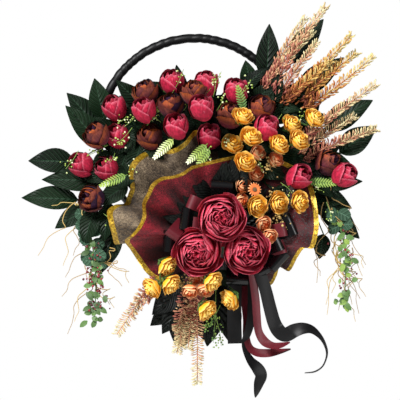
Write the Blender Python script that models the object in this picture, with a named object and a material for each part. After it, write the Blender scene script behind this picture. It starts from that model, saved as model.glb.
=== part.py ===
"""Harvest door wreath: a satin-wrapped hoop that carries a block of flower foam, with peonies,
ranunculus, heather, leaves, a ruffled net collar, a bow and its hanging tails.

Lengths are in millimetres and are turned into metres when a mesh is made. X runs to the right and
Z up, as seen from the front. Places are counted from the hoop's centre, and `out` is the distance
in front of the hoop's plane, towards -Y. The origin is where a hook holds the hoop: the inner side
of its wrapped top.
"""

import math

import bmesh
import bpy
import numpy as np
from mathutils import Matrix, Vector

MM = 0.001
GAP = 0.4  # air between two pieces that would otherwise touch

# Hoop and what is fixed to it
HOOP_RADIUS = 170.0  # to the middle of the rod
ROD_RADIUS = 5.5
WRAP_WALL = 2.3
WRAP_CLEARANCE = 0.5  # between the rod and the ribbon wound round it
HOOP_STEP = 9.0  # degrees between two stations of the rod, and of the wrap
WRAP_FROM, WRAP_TO = 9.0, 171.0  # degrees, anticlockwise from +X
BACK = 12.0  # the door's surface, behind the hoop's plane
TRAY_WALL = 2.0
TRAY_HEIGHT = 22.0
FOAM_TO_ROD = 16.5  # room for the tray's wall and the lugs that tie it to the rod
FOAM_RADIUS = HOOP_RADIUS - ROD_RADIUS - FOAM_TO_ROD
FOAM_TOP = 66.0  # height of the foam's flat top edge above the hoop's centre
FOAM_FRONT = 32.0
LOBE_X, LOBE_Z, LOBE_RADIUS = 47.0, -175.0, 50.0  # the foam reaches over the hoop here, for the bow
LUG_RADIUS, LUG_HOLE, LUG_THICKNESS = 5.0, 2.2, 3.0
TIE_ANGLES = {"right": 350.0, "bottom": 270.0, "left": 190.0}
TIE_WIRE = 0.8

# Flower heads and stems
PEONY_RADIUS = 21.0
DARK_PEONY_RADIUS = 23.0
ROSE_RADIUS = 39.0
RANUNCULUS_RADIUS = 16.5
MINI_ROSE_RADIUS = 12.5
STEM_RADIUS = 1.8
ROSE_STEM_RADIUS = 3.0
SPRAY_HUB_RADIUS = 4.5
PLUME_RADIUS = 12.0
PLUME_STEM_SHARE = 0.3  # of a plume's length that is bare stem
HEAD_GAP = 1.5  # air between neighbouring heads
HEAD_OUT = FOAM_FRONT + max(PEONY_RADIUS, DARK_PEONY_RADIUS) + 2 * HEAD_GAP  # the rearmost buds
SPRAY_RISE = 42.0  # from the foam's front to the sprays' rearmost heads

# Leaves
LEAF_WIDTH = 38.0
BLACK_LEAF_WIDTH = 56.0
LEAF_THICKNESS = 3.6
LEAF_STALK_RADIUS = 1.3
LEAF_HUB_RADIUS = 3.2
LEAF_STAGGER = 5.0  # neighbours in a fan lie this much apart in depth
LEAF_LEAN = 0.6  # and each leaf a little more than the one before, so that no two lie in one plane
LEAF_OUT = FOAM_FRONT - 10.0  # the leaves lie in one layer, in front of the hoop

# Net collar: a ruffled cone round the bow
COLLAR_THICKNESS = 1.6
COLLAR_MOUTH = 42.0  # radius of the gathered inner edge

# Bow and tails
RIBBON_WIDTH = 25.0
NARROW_RIBBON_WIDTH = 17.0
RIBBON_THICKNESS = 1.2
BOW_LOBE_RADIUS = 9.0
KNOT_RADIUS = 9.0
TAIL_SWING = 10.0  # degrees, forwards
TRAIL_SWING = 6.0  # degrees, to each side

HOOP_CENTRE_Z = ROD_RADIUS + WRAP_CLEARANCE + WRAP_WALL - HOOP_RADIUS
SPREAD = HOOP_RADIUS / 170.0  # the layout tables are drawn for a hoop of 170
TABLE_FRONT = 32.0  # and for foam that comes this far out


def point(x, out, z):
    """A place on the wreath, counted from the hoop's centre, in millimetres of the model's frame."""
    return np.array([x, -out, z + HOOP_CENTRE_Z])


def laid(x, out, z):
    """A place from the layout tables, which spread with the hoop and move outwards with the foam."""
    return point(x * SPREAD, out + FOAM_FRONT - TABLE_FRONT, z * SPREAD)


# ---------------------------------------------------------------- layout tables
# Red peony buds: x, z, furthest back first, so that each later one stands in front of its neighbours.
RED_PEONIES = [
    (-40, 91), (21, 90), (72, 76), (-142, 46), (-89, 42), (12, 45), (124, 11),
    (-137, -3), (-200, -54), (-32, 13), (262, -72), (182, -75), (25, -4), (-156, -60),
]
DARK_PEONIES = [
    (-88, 73), (-2, 72), (-42, 50), (117, 46), (60, 33), (235, -50), (-173, -3), (-80, -4), (-182, -114),
]
# Big roses: x, out, z
ROSES = {"left": (5, 128, -207), "right": (89, 128, -204), "top": (46, 156, -147)}
ROSE_FEET = {"left": (24, -166), "right": (74, -166), "top": (50, -146)}
# Sprays: where the stem is rooted (x, z), then the heads (x, z)
RANUNCULUS_SPRAYS = {
    "upper_left": ((78, -36), [(84, 31), (98, -5), (66, -17), (88, -49)]),
    "upper_right": ((118, -20), [(171, 17), (210, 28), (182, -10), (147, -18)]),
    "middle": ((122, -72), [(147, -121), (184, -119), (110, -127)]),
    "lower_left": ((22, -182), [(-46, -233), (-76, -270), (-40, -264)]),
    "lower_right": ((48, -206), [(33, -259), (58, -291), (23, -309)]),
}
MINI_ROSE_SPRAYS = {
    "upper": ((104, -50), [(111, -33), (142, -45), (107, -70)]),
    "middle": ((95, -76), [(84, -90), (82, -118), (120, -158), (130, -180)]),
    "lower": ((34, -202), [(3, -253), (18, -274), (-8, -276)]),
}
# Heather plumes: the stems' root (x, z), then the tips (x, out, z)
PLUME_SPRAYS = {
    "top": ((106, 38), [(229, 62, 222), (274, 66, 172), (284, 44, 146)]),
    "right": ((126, -6), [(311, 52, 135), (317, 72, 86), (318, 60, 8)]),
    "lower": ((1, -207), [(-42, 52, -380), (2, 52, -442), (-137, 60, -352)]),
}
# Fans of leaves: the root's angle on the foam's round edge (or x on its flat top), then the tips (x, z)
LEAF_FANS = {
    "left": (186.0, [
        (-177, 98), (-226, 73), (-250, 24), (-294, -47), (-270, -80), (-306, -112), (-247, -166),
    ]),
    "right": (357.0, [(262, 135), (313, 60), (320, 14), (276, -131), (290, -184), (219, -220)]),
    "top": (104.0, [(89, 130), (131, 189), (226, 203)]),
    "black": (248.0, [(-62, -290), (-79, -340), (-34, -378), (16, -366)]),
}
# The collars' rims: angle in degrees, radius and out, anticlockwise. The outer one is shorter.
OUTER_RIM = [
    (108, 182, 50), (126, 168, 66), (142, 186, 54), (158, 178, 72), (176, 196, 58), (194, 190, 80),
    (210, 186, 60),
]
INNER_RIM = [
    (78, 132, 80), (98, 122, 64), (116, 138, 86), (134, 146, 68), (152, 150, 88), (172, 150, 72),
    (190, 158, 92), (208, 164, 76), (226, 130, 54), (244, 102, 48), (270, 84, 46), (300, 106, 46),
    (318, 122, 58), (334, 150, 54), (352, 166, 74), (368, 168, 58), (384, 164, 76),
]
COLLAR_FOOT_GAP = {"outer": 5.0, "inner": 10.0}  # from the foam's front to each collar's mouth
# Bow loops: the outer ends of the ribbon's loops, x, out, z
BOW_KNOT = (47, 62, -192)
BLACK_LOOPS = [(-46, 76, -157), (-62, 76, -190), (62, 76, -96), (140, 66, -212), (80, 62, -256)]
BURGUNDY_KNOT = (47, 62, -164)
BURGUNDY_LOOPS = [(-52, 76, -126), (-10, 76, -108), (152, 66, -168)]
# Tails hang from below the bow. Each has a width, the depth it hangs at and a line of (x, z).
TAIL_PIVOT = (92, 58, -246)
TAILS = {
    "black_panel": (RIBBON_WIDTH, 62.0, [(72, -266), (72, -300), (71, -340), (70, -372)]),
    "black_short": (RIBBON_WIDTH, 56.0, [
        (90, -268), (90, -330), (86, -372), (98, -402), (114, -424), (112, -450), (106, -464),
    ]),
    "black_long": (RIBBON_WIDTH, 66.0, [
        (112, -262), (122, -296), (140, -330), (158, -344), (186, -338), (212, -342), (226, -366),
        (222, -394), (196, -414),
    ]),
    "burgundy_left": (NARROW_RIBBON_WIDTH, 50.0, [
        (86, -264), (87, -330), (94, -366), (110, -386), (136, -390), (168, -380),
    ]),
    "burgundy_right": (NARROW_RIBBON_WIDTH, 71.0, [
        (98, -262), (100, -306), (106, -346), (118, -370), (140, -378), (164, -370),
    ]),
}
# Trailing sprays: the end of the twig that carries one, and its own tip (x, out, z)
TRAILS = {
    "left": ((-190, 50, -150), (-190, 50, -352)),
    "right": ((250, 50, -142), (250, 50, -318)),
}
TRAIL_HALF_WIDTH, TRAIL_FLATNESS = 26.0, 0.42


# ---------------------------------------------------------------- materials
def material(name, colour, roughness=0.7, metallic=0.0):
    made = bpy.data.materials.new(name)
    made.use_nodes = True
    shader = made.node_tree.nodes["Principled BSDF"]
    shader.inputs["Base Color"].default_value = (*colour, 1)
    shader.inputs["Roughness"].default_value = roughness
    shader.inputs["Metallic"].default_value = metallic
    return made


# ---------------------------------------------------------------- building blocks
def clear_scene():
    for old in list(bpy.data.objects):
        bpy.data.objects.remove(old)


def add_object(name, mesh, finish, place=None, turn=None):
    made = bpy.data.objects.new(name, mesh)
    bpy.context.scene.collection.objects.link(made)
    if finish is not None:
        mesh.materials.append(finish)
    if place is not None:
        made.location = Vector(place) * MM
    if turn is not None:
        made.rotation_mode = "QUATERNION"
        made.rotation_quaternion = turn
    return made


def mesh_from(bm, name):
    """The bmesh as a mesh in metres, with its normals outwards and its round faces smooth."""
    bmesh.ops.remove_doubles(bm, verts=bm.verts, dist=1e-4)
    bmesh.ops.recalc_face_normals(bm, faces=bm.faces)
    bmesh.ops.scale(bm, vec=(MM, MM, MM), verts=bm.verts)
    mesh = bpy.data.meshes.new(name)
    bm.to_mesh(mesh)
    bm.free()
    mesh.shade_smooth()
    mesh.set_sharp_from_angle(angle=math.radians(40))
    return mesh


def turned(profile, sides, flat=1.0):
    """A solid turned about +Z from (radius, height) points, thinned along Y by `flat`."""
    bm = bmesh.new()
    line = [bm.verts.new((radius, 0, height)) for radius, height in profile]
    edges = [bm.edges.new(pair) for pair in zip(line, line[1:])]
    bmesh.ops.spin(
        bm, geom=line + edges, cent=(0, 0, 0), axis=(0, 0, 1), angle=2 * math.pi,
        steps=sides, use_merge=True,
    )
    bmesh.ops.scale(bm, vec=(1, flat, 1), verts=bm.verts)
    return bm


def upright_to(direction):
    """The turn that takes +Z to `direction` and keeps Y as near the model's Y as it can."""
    along = Vector(direction).normalized()
    side = Vector((0, 1, 0)).cross(along)
    if side.length < 1e-3:
        side = Vector((1, 0, 0))
    side.normalize()
    depth = along.cross(side)
    return Matrix((side, depth, along)).transposed().to_quaternion()


def ball(radius):
    """A ball with twenty faces, for a hub that joins several branches."""
    bm = bmesh.new()
    bmesh.ops.create_icosphere(bm, subdivisions=1, radius=radius)
    return bm


def bud_profile(stem_radius, centre, radius, squash=1.0, steps=5):
    """A stem that ends in a rounded head, as (radius, height) points from the foot to the tip."""
    first = math.asin(min(0.9, stem_radius / radius))
    points = [(0, 0), (stem_radius, 0)]
    for step in range(steps + 1):
        angle = math.pi - first - (math.pi - first) * step / steps
        reach = radius * math.sin(angle) if step < steps else 0
        points.append((reach, centre + squash * radius * math.cos(angle)))
    return points


def plume_profile(length):
    """A bare stem and a spindle that tapers to the tip."""
    bare = PLUME_STEM_SHARE * length
    return [
        (0, 0), (STEM_RADIUS, 0), (STEM_RADIUS, bare), (PLUME_RADIUS, bare + 0.22 * (length - bare)),
        (0.85 * PLUME_RADIUS, bare + 0.6 * (length - bare)), (0.35 * PLUME_RADIUS, 0.95 * length),
        (0, length),
    ]


def leaf_profile(length, width):
    """A leaf's outline, half its width against the length."""
    return [
        (0, 0.12 * length), (0.26 * width, 0.3 * length), (0.5 * width, 0.55 * length),
        (0.34 * width, 0.8 * length), (0, length),
    ]


def add_sheet(name, rows, thickness, finish, place):
    """A sheet of quads through rows of points, given its thickness."""
    bm = bmesh.new()
    lines = [[bm.verts.new(p - place) for p in row] for row in rows]
    for row, after in zip(lines, lines[1:]):
        for k in range(len(row) - 1):
            bm.faces.new((row[k], row[k + 1], after[k + 1], after[k]))
    bmesh.ops.recalc_face_normals(bm, faces=bm.faces)
    bmesh.ops.solidify(bm, geom=bm.faces[:], thickness=thickness)
    add_object(name, mesh_from(bm, name), finish, place)


def fuse(name, finish, bodies, place):
    """One closed body from several that overlap, given as (bmesh, place, turn)."""
    made = []
    for bm, where, turn in bodies:
        mesh = mesh_from(bm, name)
        if turn is not None:
            mesh.transform(turn.to_matrix().to_4x4())
        mesh.transform(Matrix.Translation(Vector(where) * MM))
        mesh.transform(Matrix.Translation(-Vector(place) * MM))
        made.append(add_object(name + "_part", mesh, None))
    first = made[0]
    for other in made[1:]:
        union = first.modifiers.new("join", "BOOLEAN")
        union.operation = "UNION"
        union.solver = "EXACT"
        union.object = other
    bpy.context.view_layer.update()
    whole = bpy.data.meshes.new_from_object(first.evaluated_get(bpy.context.evaluated_depsgraph_get()))
    whole.name = name
    whole.materials.clear()
    for old in made:
        bpy.data.objects.remove(old)
    return add_object(name, whole, finish, place)


def cut(name, base, cutters):
    """Takes the cutters' shapes away from base and drops them."""
    for cutter in cutters:
        hole = base.modifiers.new("cut", "BOOLEAN")
        hole.operation = "DIFFERENCE"
        hole.solver = "EXACT"
        hole.object = cutter
    bpy.context.view_layer.update()
    whole = bpy.data.meshes.new_from_object(base.evaluated_get(bpy.context.evaluated_depsgraph_get()))
    base.modifiers.clear()
    base.data = whole
    whole.name = name
    for cutter in cutters:
        bpy.data.objects.remove(cutter)
    return base


# ---------------------------------------------------------------- finding room
class Crowd:
    """The space already taken, as thick lines, so that each new piece finds a free place."""

    def __init__(self):
        self.starts = np.zeros((0, 3))
        self.ends = np.zeros((0, 3))
        self.radii = np.zeros(0)
        self.owners = []

    def add(self, owner, lines):
        for start, end, radius in lines:
            self.starts = np.vstack([self.starts, start])
            self.ends = np.vstack([self.ends, end])
            self.radii = np.append(self.radii, radius)
            self.owners.append(owner)

    def clear(self, lines, air):
        """True if none of the lines comes nearer than `air` to what is placed."""
        if not len(self.radii):
            return True
        for start, end, radius in lines:
            along, others, offset = end - start, self.ends - self.starts, start - self.starts
            a, e = max(along @ along, 1e-9), np.maximum((others * others).sum(1), 1e-9)
            b, c, f = others @ along, offset @ along, (others * offset).sum(1)
            s = np.clip((b * f - c * e) / np.maximum(a * e - b * b, 1e-9), 0, 1)
            t = np.clip((b * s + f) / e, 0, 1)
            s = np.clip((b * t - c) / a, 0, 1)
            near = start + s[:, None] * along - self.starts - t[:, None] * others
            if (np.linalg.norm(near, axis=1) - self.radii - radius < air).any():
                return False
        return True


def in_foam(x, z, margin=6.0):
    """True where a stem can be pushed into the foam's front."""
    return math.hypot(x, z) < FOAM_RADIUS - margin and z < FOAM_TOP - margin


def feet_near(x, z):
    """Places on the foam's front to root a stem in, the nearest to (x, z) first."""
    pull = min(0.85, (FOAM_RADIUS - 14) / max(1.0, math.hypot(x, z)))
    x, z = x * pull, min(z * pull, FOAM_TOP - 10)
    yield x, z
    for ring in range(1, 12):
        for step in range(12):
            angle = 2 * math.pi * step / 12
            spot = x + 7 * ring * math.cos(angle), z + 7 * ring * math.sin(angle)
            if in_foam(*spot):
                yield spot


def stem_foot(x, z, radius):
    """A stem's foot, just clear of the foam however the stem leans."""
    return point(x, FOAM_FRONT + radius + GAP, z)


def thick_lines(foot, centre, stem_radius, head_radius):
    """The space that one stem and its head take."""
    return [(foot, centre, stem_radius), (centre, centre, head_radius)]


def find_room(crowd, name, x, z, stem_radius, head_radius):
    """The foot and the head's centre of one flower: the head keeps its x and z and moves outwards."""
    x, z = x * SPREAD, z * SPREAD
    for push in range(0, 240, 3):
        for foot_x, foot_z in feet_near(x, z):
            foot = stem_foot(foot_x, foot_z, stem_radius)
            centre = point(x, HEAD_OUT + push, z)
            lines = thick_lines(foot, centre, stem_radius, head_radius)
            if crowd.clear(lines, HEAD_GAP):
                crowd.add(name, lines)
                return foot, centre
    raise ValueError(f"no room for {name}")


# ---------------------------------------------------------------- hoop, tray and foam
def ring_section(radii, sides, start, sweep):
    """A round or hollow section swept round the hoop's axis, which is Y."""
    bm = bmesh.new()
    loops = []
    for radius in radii:
        made = bmesh.ops.create_circle(bm, segments=sides, radius=radius)["verts"]
        loops.append([e for e in {e for v in made for e in v.link_edges}])
    if len(loops) == 2:
        faces = bmesh.ops.bridge_loops(bm, edges=loops[0] + loops[1])["faces"]
    else:
        faces = bmesh.ops.contextual_create(bm, geom=loops[0])["faces"]
    bmesh.ops.translate(bm, verts=bm.verts, vec=(HOOP_RADIUS, 0, 0))
    turn = Matrix.Rotation(-math.radians(start), 3, "Y")
    bmesh.ops.rotate(bm, verts=bm.verts, cent=(0, 0, 0), matrix=turn)
    closed = sweep >= 360
    if closed:
        bmesh.ops.delete(bm, geom=faces, context="FACES_ONLY")
    geom = bm.verts[:] + bm.edges[:] + bm.faces[:]
    bmesh.ops.spin(
        bm, geom=geom, cent=(0, 0, 0), axis=(0, -1, 0), angle=math.radians(sweep),
        steps=round(sweep / HOOP_STEP), use_merge=closed,
    )
    return bm


def make_hoop(steel, satin):
    """The steel ring, and the satin ribbon wound round its free upper arc."""
    centre = point(0, 0, 0)
    add_object("hoop_rod", mesh_from(ring_section([ROD_RADIUS], 8, 0, 360), "hoop_rod"), steel, centre)
    inner = ROD_RADIUS + WRAP_CLEARANCE
    bm = ring_section([inner, inner + WRAP_WALL], 8, WRAP_FROM, WRAP_TO - WRAP_FROM)
    add_object("hoop_satin_wrap", mesh_from(bm, "hoop_satin_wrap"), satin, centre)


def slab(radius, top, front, back):
    """A round slab with a flat top edge, between two depths counted outwards from the hoop's plane."""
    bm = bmesh.new()
    bmesh.ops.create_circle(bm, cap_ends=True, segments=36, radius=radius)
    bmesh.ops.rotate(bm, verts=bm.verts, cent=(0, 0, 0), matrix=Matrix.Rotation(math.pi / 2, 3, "X"))
    geom = bm.verts[:] + bm.edges[:] + bm.faces[:]
    bmesh.ops.bisect_plane(bm, geom=geom, plane_co=(0, 0, top), plane_no=(0, 0, 1), clear_outer=True)
    bmesh.ops.translate(bm, verts=bm.verts, vec=(0, -back, 0))
    raised = bmesh.ops.extrude_face_region(bm, geom=bm.faces[:])["geom"]
    corners = [v for v in raised if isinstance(v, bmesh.types.BMVert)]
    bmesh.ops.translate(bm, verts=corners, vec=(0, back - front, 0))
    return bm


def disc(radius, thickness, sides):
    """A short cylinder along Y, about the origin."""
    bm = bmesh.new()
    bmesh.ops.create_cone(
        bm, cap_ends=True, segments=sides, radius1=radius, radius2=radius, depth=thickness
    )
    bmesh.ops.rotate(bm, verts=bm.verts, cent=(0, 0, 0), matrix=Matrix.Rotation(math.pi / 2, 3, "X"))
    return bm


def make_base(plastic, foam, wire):
    """The foam with its lobe under the bow, the tray with its three lugs, and the ties to the ring."""
    centre = point(0, 0, 0)
    lobe_back = TRAY_HEIGHT - BACK + GAP
    lobe = disc(LOBE_RADIUS, FOAM_FRONT - lobe_back, 24)
    block = slab(FOAM_RADIUS, FOAM_TOP, FOAM_FRONT, TRAY_WALL + GAP - BACK)
    lobe_place = point(LOBE_X * SPREAD, (FOAM_FRONT + lobe_back) / 2, LOBE_Z * SPREAD)
    fuse("flower_foam", foam, [(block, centre, None), (lobe, lobe_place, None)], centre)
    inner, outer = FOAM_RADIUS + GAP, FOAM_RADIUS + GAP + TRAY_WALL
    lug_reach = outer + LUG_RADIUS / 2
    lugs = []
    for angle in map(math.radians, TIE_ANGLES.values()):
        lugs.append(point(lug_reach * math.cos(angle), 0, lug_reach * math.sin(angle)))
    bodies = [(slab(outer, FOAM_TOP + GAP + TRAY_WALL, TRAY_HEIGHT - BACK, -BACK), centre, None)]
    bodies += [(disc(LUG_RADIUS, LUG_THICKNESS, 16), lug, None) for lug in lugs]
    tray = fuse("foam_tray", plastic, bodies, centre)
    pocket = slab(inner, FOAM_TOP + GAP, TRAY_HEIGHT, TRAY_WALL - BACK)
    cutters = [add_object("pocket", mesh_from(pocket, "pocket"), None, centre)]
    for lug in lugs:
        drill = mesh_from(disc(LUG_HOLE, 3 * LUG_THICKNESS, 12), "drill")
        cutters.append(add_object("drill", drill, None, lug))
    bpy.context.view_layer.update()
    cut("foam_tray", tray, cutters)

    tie_inner, tie_outer = lug_reach, HOOP_RADIUS + ROD_RADIUS + 3.0
    middle, half, depth = (tie_inner + tie_outer) / 2, (tie_outer - tie_inner) / 2, ROD_RADIUS + 2.0
    for side, angle in TIE_ANGLES.items():
        make_tie(side, math.radians(angle), middle, half, depth, wire)


def make_tie(side, angle, middle, half, depth, wire):
    """A loop of wire round the rod and through a lug's hole."""
    curve = bpy.data.curves.new(f"tie_wire_{side}", "CURVE")
    curve.dimensions = "3D"
    curve.bevel_depth = TIE_WIRE * MM
    curve.bevel_resolution = 1
    spline = curve.splines.new("POLY")
    steps = 14
    spline.points.add(steps - 1)
    for step in range(steps):
        turn = 2 * math.pi * step / steps
        reach = middle + half * math.cos(turn)
        place = point(reach * math.cos(angle), depth * math.sin(turn), reach * math.sin(angle)) * MM
        spline.points[step].co = (*place, 1)
    spline.use_cyclic_u = True
    made = bpy.data.objects.new(f"tie_wire_{side}", curve)
    curve.materials.append(wire)
    bpy.context.scene.collection.objects.link(made)


# ---------------------------------------------------------------- flowers
def make_flower(name, finish, foot, centre, stem_radius, head_radius, squash, sides):
    """One stem and its head, turned about the line from the foot through the head's centre."""
    reach = float(np.linalg.norm(centre - foot))
    bm = turned(bud_profile(stem_radius, reach, head_radius, squash), sides)
    add_object(name, mesh_from(bm, name), finish, foot, upright_to(centre - foot))


def make_roses(crowd, finish):
    """The three big roses in front of the bow."""
    for side, (x, out, z) in ROSES.items():
        foot_x, foot_z = ROSE_FEET[side]
        foot = laid(foot_x, TABLE_FRONT + ROSE_STEM_RADIUS + GAP, foot_z)
        centre = laid(x, out, z)
        crowd.add(f"rose_{side}", thick_lines(foot, centre, ROSE_STEM_RADIUS, ROSE_RADIUS))
        make_flower(f"rose_{side}", finish, foot, centre, ROSE_STEM_RADIUS, ROSE_RADIUS, 0.8, 12)


def make_peonies(crowd, red, dark):
    """Both kinds of bud, from the top of the wreath down, each in front of what is there already."""
    buds = []
    for kind, places, radius, finish in (
        ("red", RED_PEONIES, PEONY_RADIUS, red), ("dark", DARK_PEONIES, DARK_PEONY_RADIUS, dark)
    ):
        for number, (x, z) in enumerate(places, 1):
            buds.append((x, z, f"{kind}_peony_{number:02d}", radius, finish))
    for x, z, name, radius, finish in sorted(buds, key=lambda bud: -bud[1]):
        foot, centre = find_room(crowd, name, x, z, STEM_RADIUS, radius)
        make_flower(name, finish, foot, centre, STEM_RADIUS, radius, 1.0, 10)


def find_branches(crowd, name, root, ends, hub_radius, lines_of, apart=0.0):
    """A hub near `root`, and the branches' ends: each keeps its x and z and moves out till it is clear.
    Both are given as (x, out, z). `apart` is the least distance between two of the ends."""
    for shift in range(0, 60, 4):
        for step in range(12 if shift else 1):
            turn = 2 * math.pi * step / 12
            hub = laid(*root) + shift * np.array([math.cos(turn), 0, math.sin(turn)])
            lines, placed = [(hub, hub, hub_radius)], []
            if not crowd.clear(lines, GAP):
                continue
            for x, first_out, z in ends:
                for push in range(0, 66, 3):
                    end = laid(x, first_out + push, z)
                    branch = lines_of(hub, end)
                    spread = all(np.linalg.norm(end - other) > apart for other in placed)
                    if spread and crowd.clear(branch, HEAD_GAP):
                        placed.append(end)
                        lines += branch
                        break
            if len(placed) == len(ends):
                crowd.add(name, lines)
                return hub, placed
    raise ValueError(f"no room for {name}")


def make_branches(name, finish, hub, hub_radius, ends, profile_of, sides):
    """A ball with a turned shape from its middle to each end, joined into one body."""
    bodies = [(ball(hub_radius), hub, None)]
    for end in ends:
        branch = turned(profile_of(float(np.linalg.norm(end - hub))), sides)
        bodies.append((branch, hub, upright_to(end - hub)))
    fuse(name, finish, bodies, hub)


def make_spray(crowd, name, finish, root, heads, radius):
    """A forked stem with a flower on each branch."""
    root = (root[0], TABLE_FRONT + SPRAY_HUB_RADIUS + GAP, root[1])
    ends = [(x, TABLE_FRONT + SPRAY_RISE, z) for x, z in heads]

    def lines_of(hub, end):
        return thick_lines(hub, end, STEM_RADIUS, radius)

    hub, ends = find_branches(crowd, name, root, ends, SPRAY_HUB_RADIUS, lines_of, 2 * radius + HEAD_GAP)

    def profile_of(reach):
        return bud_profile(STEM_RADIUS, reach, radius, 0.85, 4)

    make_branches(name, finish, hub, SPRAY_HUB_RADIUS, ends, profile_of, 8)


def make_sprays(crowd, level, peach, yellow):
    """The mini roses and the ranunculus of one level of the wreath."""
    for side, (root, heads) in MINI_ROSE_SPRAYS.items():
        if side.startswith(level):
            make_spray(crowd, f"mini_roses_{side}", peach, root, heads, MINI_ROSE_RADIUS)
    for side, (root, heads) in RANUNCULUS_SPRAYS.items():
        if side.startswith(level):
            make_spray(crowd, f"ranunculus_{side}", yellow, root, heads, RANUNCULUS_RADIUS)


def make_plumes(crowd, side, root, tips, finish):
    """A forked stem with a tapering plume on each branch."""
    name = f"heather_{side}"
    clearance = SPRAY_HUB_RADIUS + GAP
    rooted = in_foam(root[0] * SPREAD, root[1] * SPREAD)
    root = (root[0], TABLE_FRONT + (clearance if rooted else -clearance), root[1])

    def lines_of(hub, end):
        waist = hub + (end - hub) * (PLUME_STEM_SHARE + 0.12)
        return [(hub, waist, STEM_RADIUS), (waist, hub + (end - hub) * 0.9, PLUME_RADIUS)]

    hub, ends = find_branches(crowd, name, root, tips, SPRAY_HUB_RADIUS, lines_of)
    make_branches(name, finish, hub, SPRAY_HUB_RADIUS, ends, plume_profile, 8)


# ---------------------------------------------------------------- leaves
def fan_hub(side, root):
    """The middle of a fan's hub, beside the foam's round edge, its lobe or its flat top."""
    reach = LEAF_HUB_RADIUS + 2 * GAP
    if side == "top":
        return point(root * SPREAD, LEAF_OUT, FOAM_TOP + reach)
    centre, radius = point(0, LEAF_OUT, 0), FOAM_RADIUS
    if side == "black":
        centre, radius = point(LOBE_X * SPREAD, LEAF_OUT, LOBE_Z * SPREAD), LOBE_RADIUS
    angle = math.radians(root)
    return centre + (radius + reach) * np.array([math.cos(angle), 0, math.sin(angle)])


def make_leaf_fan(crowd, side, finish):
    """Leaves from one hub on the foam's edge, and the twig that a trailing spray hangs from."""
    name = f"leaf_fan_{side}"
    root, tips = LEAF_FANS[side]
    width = BLACK_LEAF_WIDTH if side == "black" else LEAF_WIDTH
    hub = fan_hub(side, root)
    bodies = [(ball(LEAF_HUB_RADIUS), hub, None)]
    for place, (x, z) in enumerate(tips):
        tip = point(x * SPREAD, LEAF_OUT + LEAF_STAGGER * (place % 3) + LEAF_LEAN * place, z * SPREAD)
        reach = float(np.linalg.norm(tip - hub))
        turn = upright_to(tip - hub)
        stalk = [(0, 0), (LEAF_STALK_RADIUS, 0), (LEAF_STALK_RADIUS, 0.5 * reach), (0, 0.55 * reach)]
        bodies.append((turned(stalk, 5), hub, turn))  # five sides, so that no edge lies in the leaf's plane
        bodies.append((turned(leaf_profile(reach, width), 6, LEAF_THICKNESS / width), hub, turn))
        crowd.add(name, [(hub, tip, 2.0)])
    if side in TRAILS:
        knee = laid(*TRAILS[side][0])
        reach = float(np.linalg.norm(knee - hub))
        twig = [(0, 0), (LEAF_STALK_RADIUS, 0), (LEAF_STALK_RADIUS, reach), (0, reach)]
        bodies.append((turned(twig, 6), hub, upright_to(knee - hub)))
        crowd.add(name, [(hub, knee, LEAF_STALK_RADIUS)])
    fuse(name, finish, bodies, hub)


# ---------------------------------------------------------------- collar
def rim_at(rim, angle):
    """(radius, out) of a rim at an angle, on a smooth line through its points."""
    angles = [p[0] for p in rim]
    k = max(0, min(len(rim) - 2, int(np.searchsorted(angles, angle, side="right")) - 1))
    share = (angle - angles[k]) / (angles[k + 1] - angles[k])
    eased = share * share * (3 - 2 * share)
    return tuple(rim[k][i] + (rim[k + 1][i] - rim[k][i]) * eased for i in (1, 2))


def make_collar(crowd, side, rim, finish):
    """A ruffled cone: one strip of quads from the gathered mouth to the rim, given its thickness."""
    name = f"net_collar_{side}"
    foot_out = TABLE_FRONT + COLLAR_FOOT_GAP[side]
    first, last = rim[0][0], rim[-1][0]
    steps = max(8, round((last - first) / 9))
    rows = []
    for step in range(steps + 1):
        angle = first + (last - first) * step / steps
        radius, out = rim_at(rim, angle)
        ray = np.array([math.cos(math.radians(angle)), 0, math.sin(math.radians(angle))])
        mouth = laid(LOBE_X, foot_out, LOBE_Z) + COLLAR_MOUTH * ray
        edge = laid(LOBE_X, out, LOBE_Z) + radius * SPREAD * ray
        middle = (mouth + edge) / 2 + np.array([0, -3.0, 0])
        rows.append((mouth, middle, edge))
        crowd.add(name, [(mouth, edge, 5.0)])
    add_sheet(name, rows, COLLAR_THICKNESS, finish, laid(LOBE_X, foot_out, LOBE_Z))


# ---------------------------------------------------------------- bow and tails
def loop_profile(reach):
    """A ribbon loop, as a pinched stalk and a blunt lobe."""
    return [
        (0, 0), (3.0, 0), (3.0, 0.45 * reach), (BOW_LOBE_RADIUS, 0.75 * reach),
        (0.9 * BOW_LOBE_RADIUS, 0.93 * reach), (0, reach),
    ]


def make_bow(crowd, name, knot, loops, finish):
    """A knot with ribbon loops that stand out from it."""
    def lines_of(hub, end):
        waist = hub + (end - hub) * 0.55
        return [(hub, waist, 4.0), (waist, hub + (end - hub) * 0.9, BOW_LOBE_RADIUS)]

    hub, ends = find_branches(crowd, name, knot, loops, KNOT_RADIUS, lines_of)
    make_branches(name, finish, hub, KNOT_RADIUS, ends, loop_profile, 8)


def swung(place, pivot, angle, axis):
    """A place turned about a line through the pivot, along the model's X or Y."""
    return np.array(Matrix.Rotation(math.radians(angle), 3, axis) @ Vector(place - pivot)) + pivot


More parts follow.
